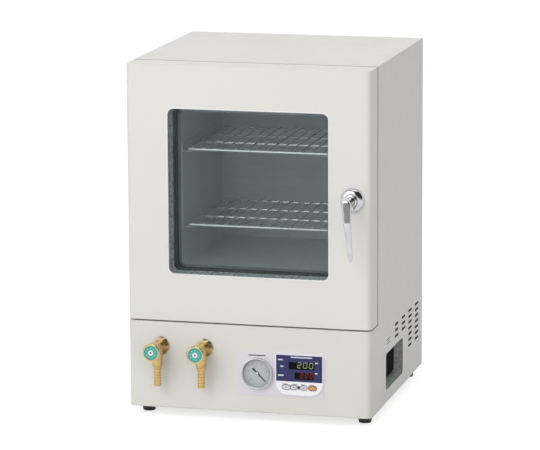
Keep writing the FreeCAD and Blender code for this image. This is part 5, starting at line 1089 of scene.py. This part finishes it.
def side_label():
    """The bare label above the side recess."""
    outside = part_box("right_side_panel")[1].x
    recess_low, recess_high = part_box("side_recess")
    width, height = 45.0 * MM, 18.0 * MM
    base = recess_high.z + 12.0 * MM
    centre_y = recess_low.y + 1.5 * MM + width / 2
    sideways = Matrix(((0, 1, 0, 0), (1, 0, 0, 0), (0, 0, 1, 0), (0, 0, 0, 1)))
    bm = bmesh.new()
    points = rounded(width, height, 1.5 * MM, (centre_y, base + height / 2), steps=4)
    prism(bm, points, outside - PRINT_DEPTH, outside + 0.12 * MM, sideways)
    mesh_object("side_label", bm, MATERIALS["label_bare"], "cabinet")
    bars = bmesh.new()
    for rise, length in ((13.6, 34.0), (9.0, 26.0), (4.4, 34.0)):
        outline = rounded(length * MM, 2.0 * MM, 0.4 * MM, (centre_y, base + rise * MM), steps=3)
        prism(bars, outline, outside + 0.1 * MM, outside + 0.17 * MM, sideways)
    mesh_object("side_label_bars", bars, MATERIALS["print_grey"], "cabinet")


# Stage

FLOOR_REACH = 14.0
FLOOR_GLOW = 0.7
FLOOR_MIRRORED = 0.42
WORLD_FILL = 0.56
MIDDLE_AIM = (0.0, 0.0, 0.35)
LOWER_AIM = (0.0, 0.0, 0.3)


def floor_sheet():
    """A wide pale floor that glows towards the eye."""
    bm = bmesh.new()
    corners = ((-1, -1), (1, -1), (1, 1), (-1, 1))
    bm.faces.new([bm.verts.new((x * FLOOR_REACH, y * FLOOR_REACH, 0.0)) for x, y in corners])
    mesh = bpy.data.meshes.new("floor")
    bm.to_mesh(mesh)
    bm.free()
    floor = add_object("floor", mesh)
    made = Material("floor_white", (0.62, 0.62, 0.62), 0.9)
    made.mottle(1.2, (0.6, 0.6, 0.6))
    path = made.add("ShaderNodeLightPath")
    seen = made.math("MAXIMUM", path.outputs["Is Camera Ray"], path.outputs["Is Transmission Ray"])
    mirrored = made.math("MULTIPLY", path.outputs["Is Glossy Ray"], FLOOR_MIRRORED)
    shown = made.math("MULTIPLY", seen, FLOOR_GLOW)
    glow = made.add("ShaderNodeEmission")
    made.link(made.math("ADD", shown, mirrored), glow.inputs["Strength"])
    both = made.add("ShaderNodeAddShader")
    made.link(made.shader.outputs[0], both.inputs[0])
    made.link(glow.outputs[0], both.inputs[1])
    made.link(both.outputs[0], made.output.inputs["Surface"])
    mesh.materials.append(made.material)


def lamps():
    """Soft lamps in front and above, with a fill that leaves no mirror image."""
    lamp_at("key_lamp", (-1.8, -4.6, 3.0), MIDDLE_AIM, size=4.8, power=120.0)
    lamp_at("strip_lamp", (-1.3, -4.0, 3.1), MIDDLE_AIM, size=2.2, power=22.0, height=0.3)
    lamp_at("top_lamp", (0.3, 0.2, 4.2), LOWER_AIM, size=3.2, power=26.0)
    fill = lamp_at("fill_lamp", (2.2, -4.8, 1.3), LOWER_AIM, size=3.6, power=34.0)
    fill.visible_glossy = False


def surround():
    """A world that is white to the eye and in reflections, and a dimmer fill for the rest."""
    world = bpy.data.worlds.new("studio")
    world.use_nodes = True
    bpy.context.scene.world = world
    tree = world.node_tree
    background = tree.nodes["Background"]
    background.inputs["Color"].default_value = (1, 1, 1, 1)
    path = tree.nodes.new("ShaderNodeLightPath")
    total = path.outputs["Is Camera Ray"]
    for ray in ("Is Glossy Ray", "Is Transmission Ray"):
        node = tree.nodes.new("ShaderNodeMath")
        node.operation = "MAXIMUM"
        tree.links.new(total, node.inputs[0])
        tree.links.new(path.outputs[ray], node.inputs[1])
        total = node.outputs[0]
    spread = tree.nodes.new("ShaderNodeMapRange")
    spread.inputs["To Min"].default_value = WORLD_FILL
    spread.inputs["To Max"].default_value = 1.0
    tree.links.new(total, spread.inputs["Value"])
    shade = dark_flag(tree, path)
    tree.links.new(product(tree, spread.outputs[0], shade), background.inputs["Strength"])


def dark_flag(tree, path):
    """The dim studio end that polished metal shows in front of the oven, darker higher up.

    Each ramp has a direction's axis, where the flag starts and where it is full.
    """
    place = tree.nodes.new("ShaderNodeTexCoord")
    parts = tree.nodes.new("ShaderNodeSeparateXYZ")
    tree.links.new(place.outputs["Generated"], parts.inputs[0])
    low = (("Y", 0.1, -0.05), ("Z", -0.06, -0.03), ("Z", 0.15, 0.12), ("X", -0.5, -0.3))
    high = (("Y", 0.3, 0.1), ("Z", 0.12, 0.15), ("Z", 0.96, 0.9), ("X", -0.5, -0.3))
    lights = []
    for ramps, tone in ((low, 0.38), (high, 0.04)):
        share = path.outputs["Is Glossy Ray"]
        for letter, start, end in ramps:
            ramp = tree.nodes.new("ShaderNodeMapRange")
            ramp.inputs["From Min"].default_value = start
            ramp.inputs["From Max"].default_value = end
            tree.links.new(parts.outputs[letter], ramp.inputs["Value"])
            share = product(tree, share, ramp.outputs[0])
        light = tree.nodes.new("ShaderNodeMapRange")
        light.inputs["To Min"].default_value = 1.0
        light.inputs["To Max"].default_value = tone
        tree.links.new(share, light.inputs["Value"])
        lights.append(light.outputs[0])
    return product(tree, *lights)


def product(tree, first, second):
    """Two values multiplied."""
    node = tree.nodes.new("ShaderNodeMath")
    node.operation = "MULTIPLY"
    tree.links.new(first, node.inputs[0])
    tree.links.new(second, node.inputs[1])
    return node.outputs[0]


def lamp_at(name, place, target, size, power, height=None):
    """A soft area lamp that looks at a point."""
    light = bpy.data.lights.new(name, "AREA")
    light.size = size
    if height:
        light.shape = "RECTANGLE"
        light.size_y = height
    light.energy = power
    holder = add_object(name, light)
    holder.location = place
    aim = Vector(target) - Vector(place)
    holder.rotation_euler = aim.to_track_quat("-Z", "Y").to_euler()
    return holder


def camera():
    """The camera at the photograph's angle."""
    sine_yaw, cosine_yaw = math.sin(CAMERA_YAW), math.cos(CAMERA_YAW)
    sine_pitch, cosine_pitch = math.sin(CAMERA_PITCH), math.cos(CAMERA_PITCH)
    forward = Vector((-sine_yaw * cosine_pitch, cosine_yaw * cosine_pitch, -sine_pitch))
    right = Vector((cosine_yaw, sine_yaw, 0))
    up = right.cross(forward)
    rolled_right = right * math.cos(CAMERA_ROLL) + up * math.sin(CAMERA_ROLL)
    rolled_up = up * math.cos(CAMERA_ROLL) - right * math.sin(CAMERA_ROLL)
    rotation = Matrix((rolled_right, rolled_up, -forward)).transposed()
    data = bpy.data.cameras.new("camera")
    data.sensor_fit = "HORIZONTAL"
    data.sensor_width = SENSOR_MM
    data.lens = FOCAL_PIXELS / FRAME_PIXELS * SENSOR_MM
    data.clip_end = 60.0
    holder = add_object("camera", data)
    holder.matrix_world = Matrix.Translation(CAMERA_PLACE) @ rotation.to_4x4()
    bpy.context.scene.camera = holder


bpy.context.scene.view_settings.view_transform = "Standard"
camera()
dress_nodes()
latch_handle()
latch_dome()
gauge_print()
gauge_needle()
gauge_shell()
displays()
controller_captions()
signal_lamps()
gauge_caption()
key_marks()
screws()
side_label()
floor_sheet()
surround()
lamps()
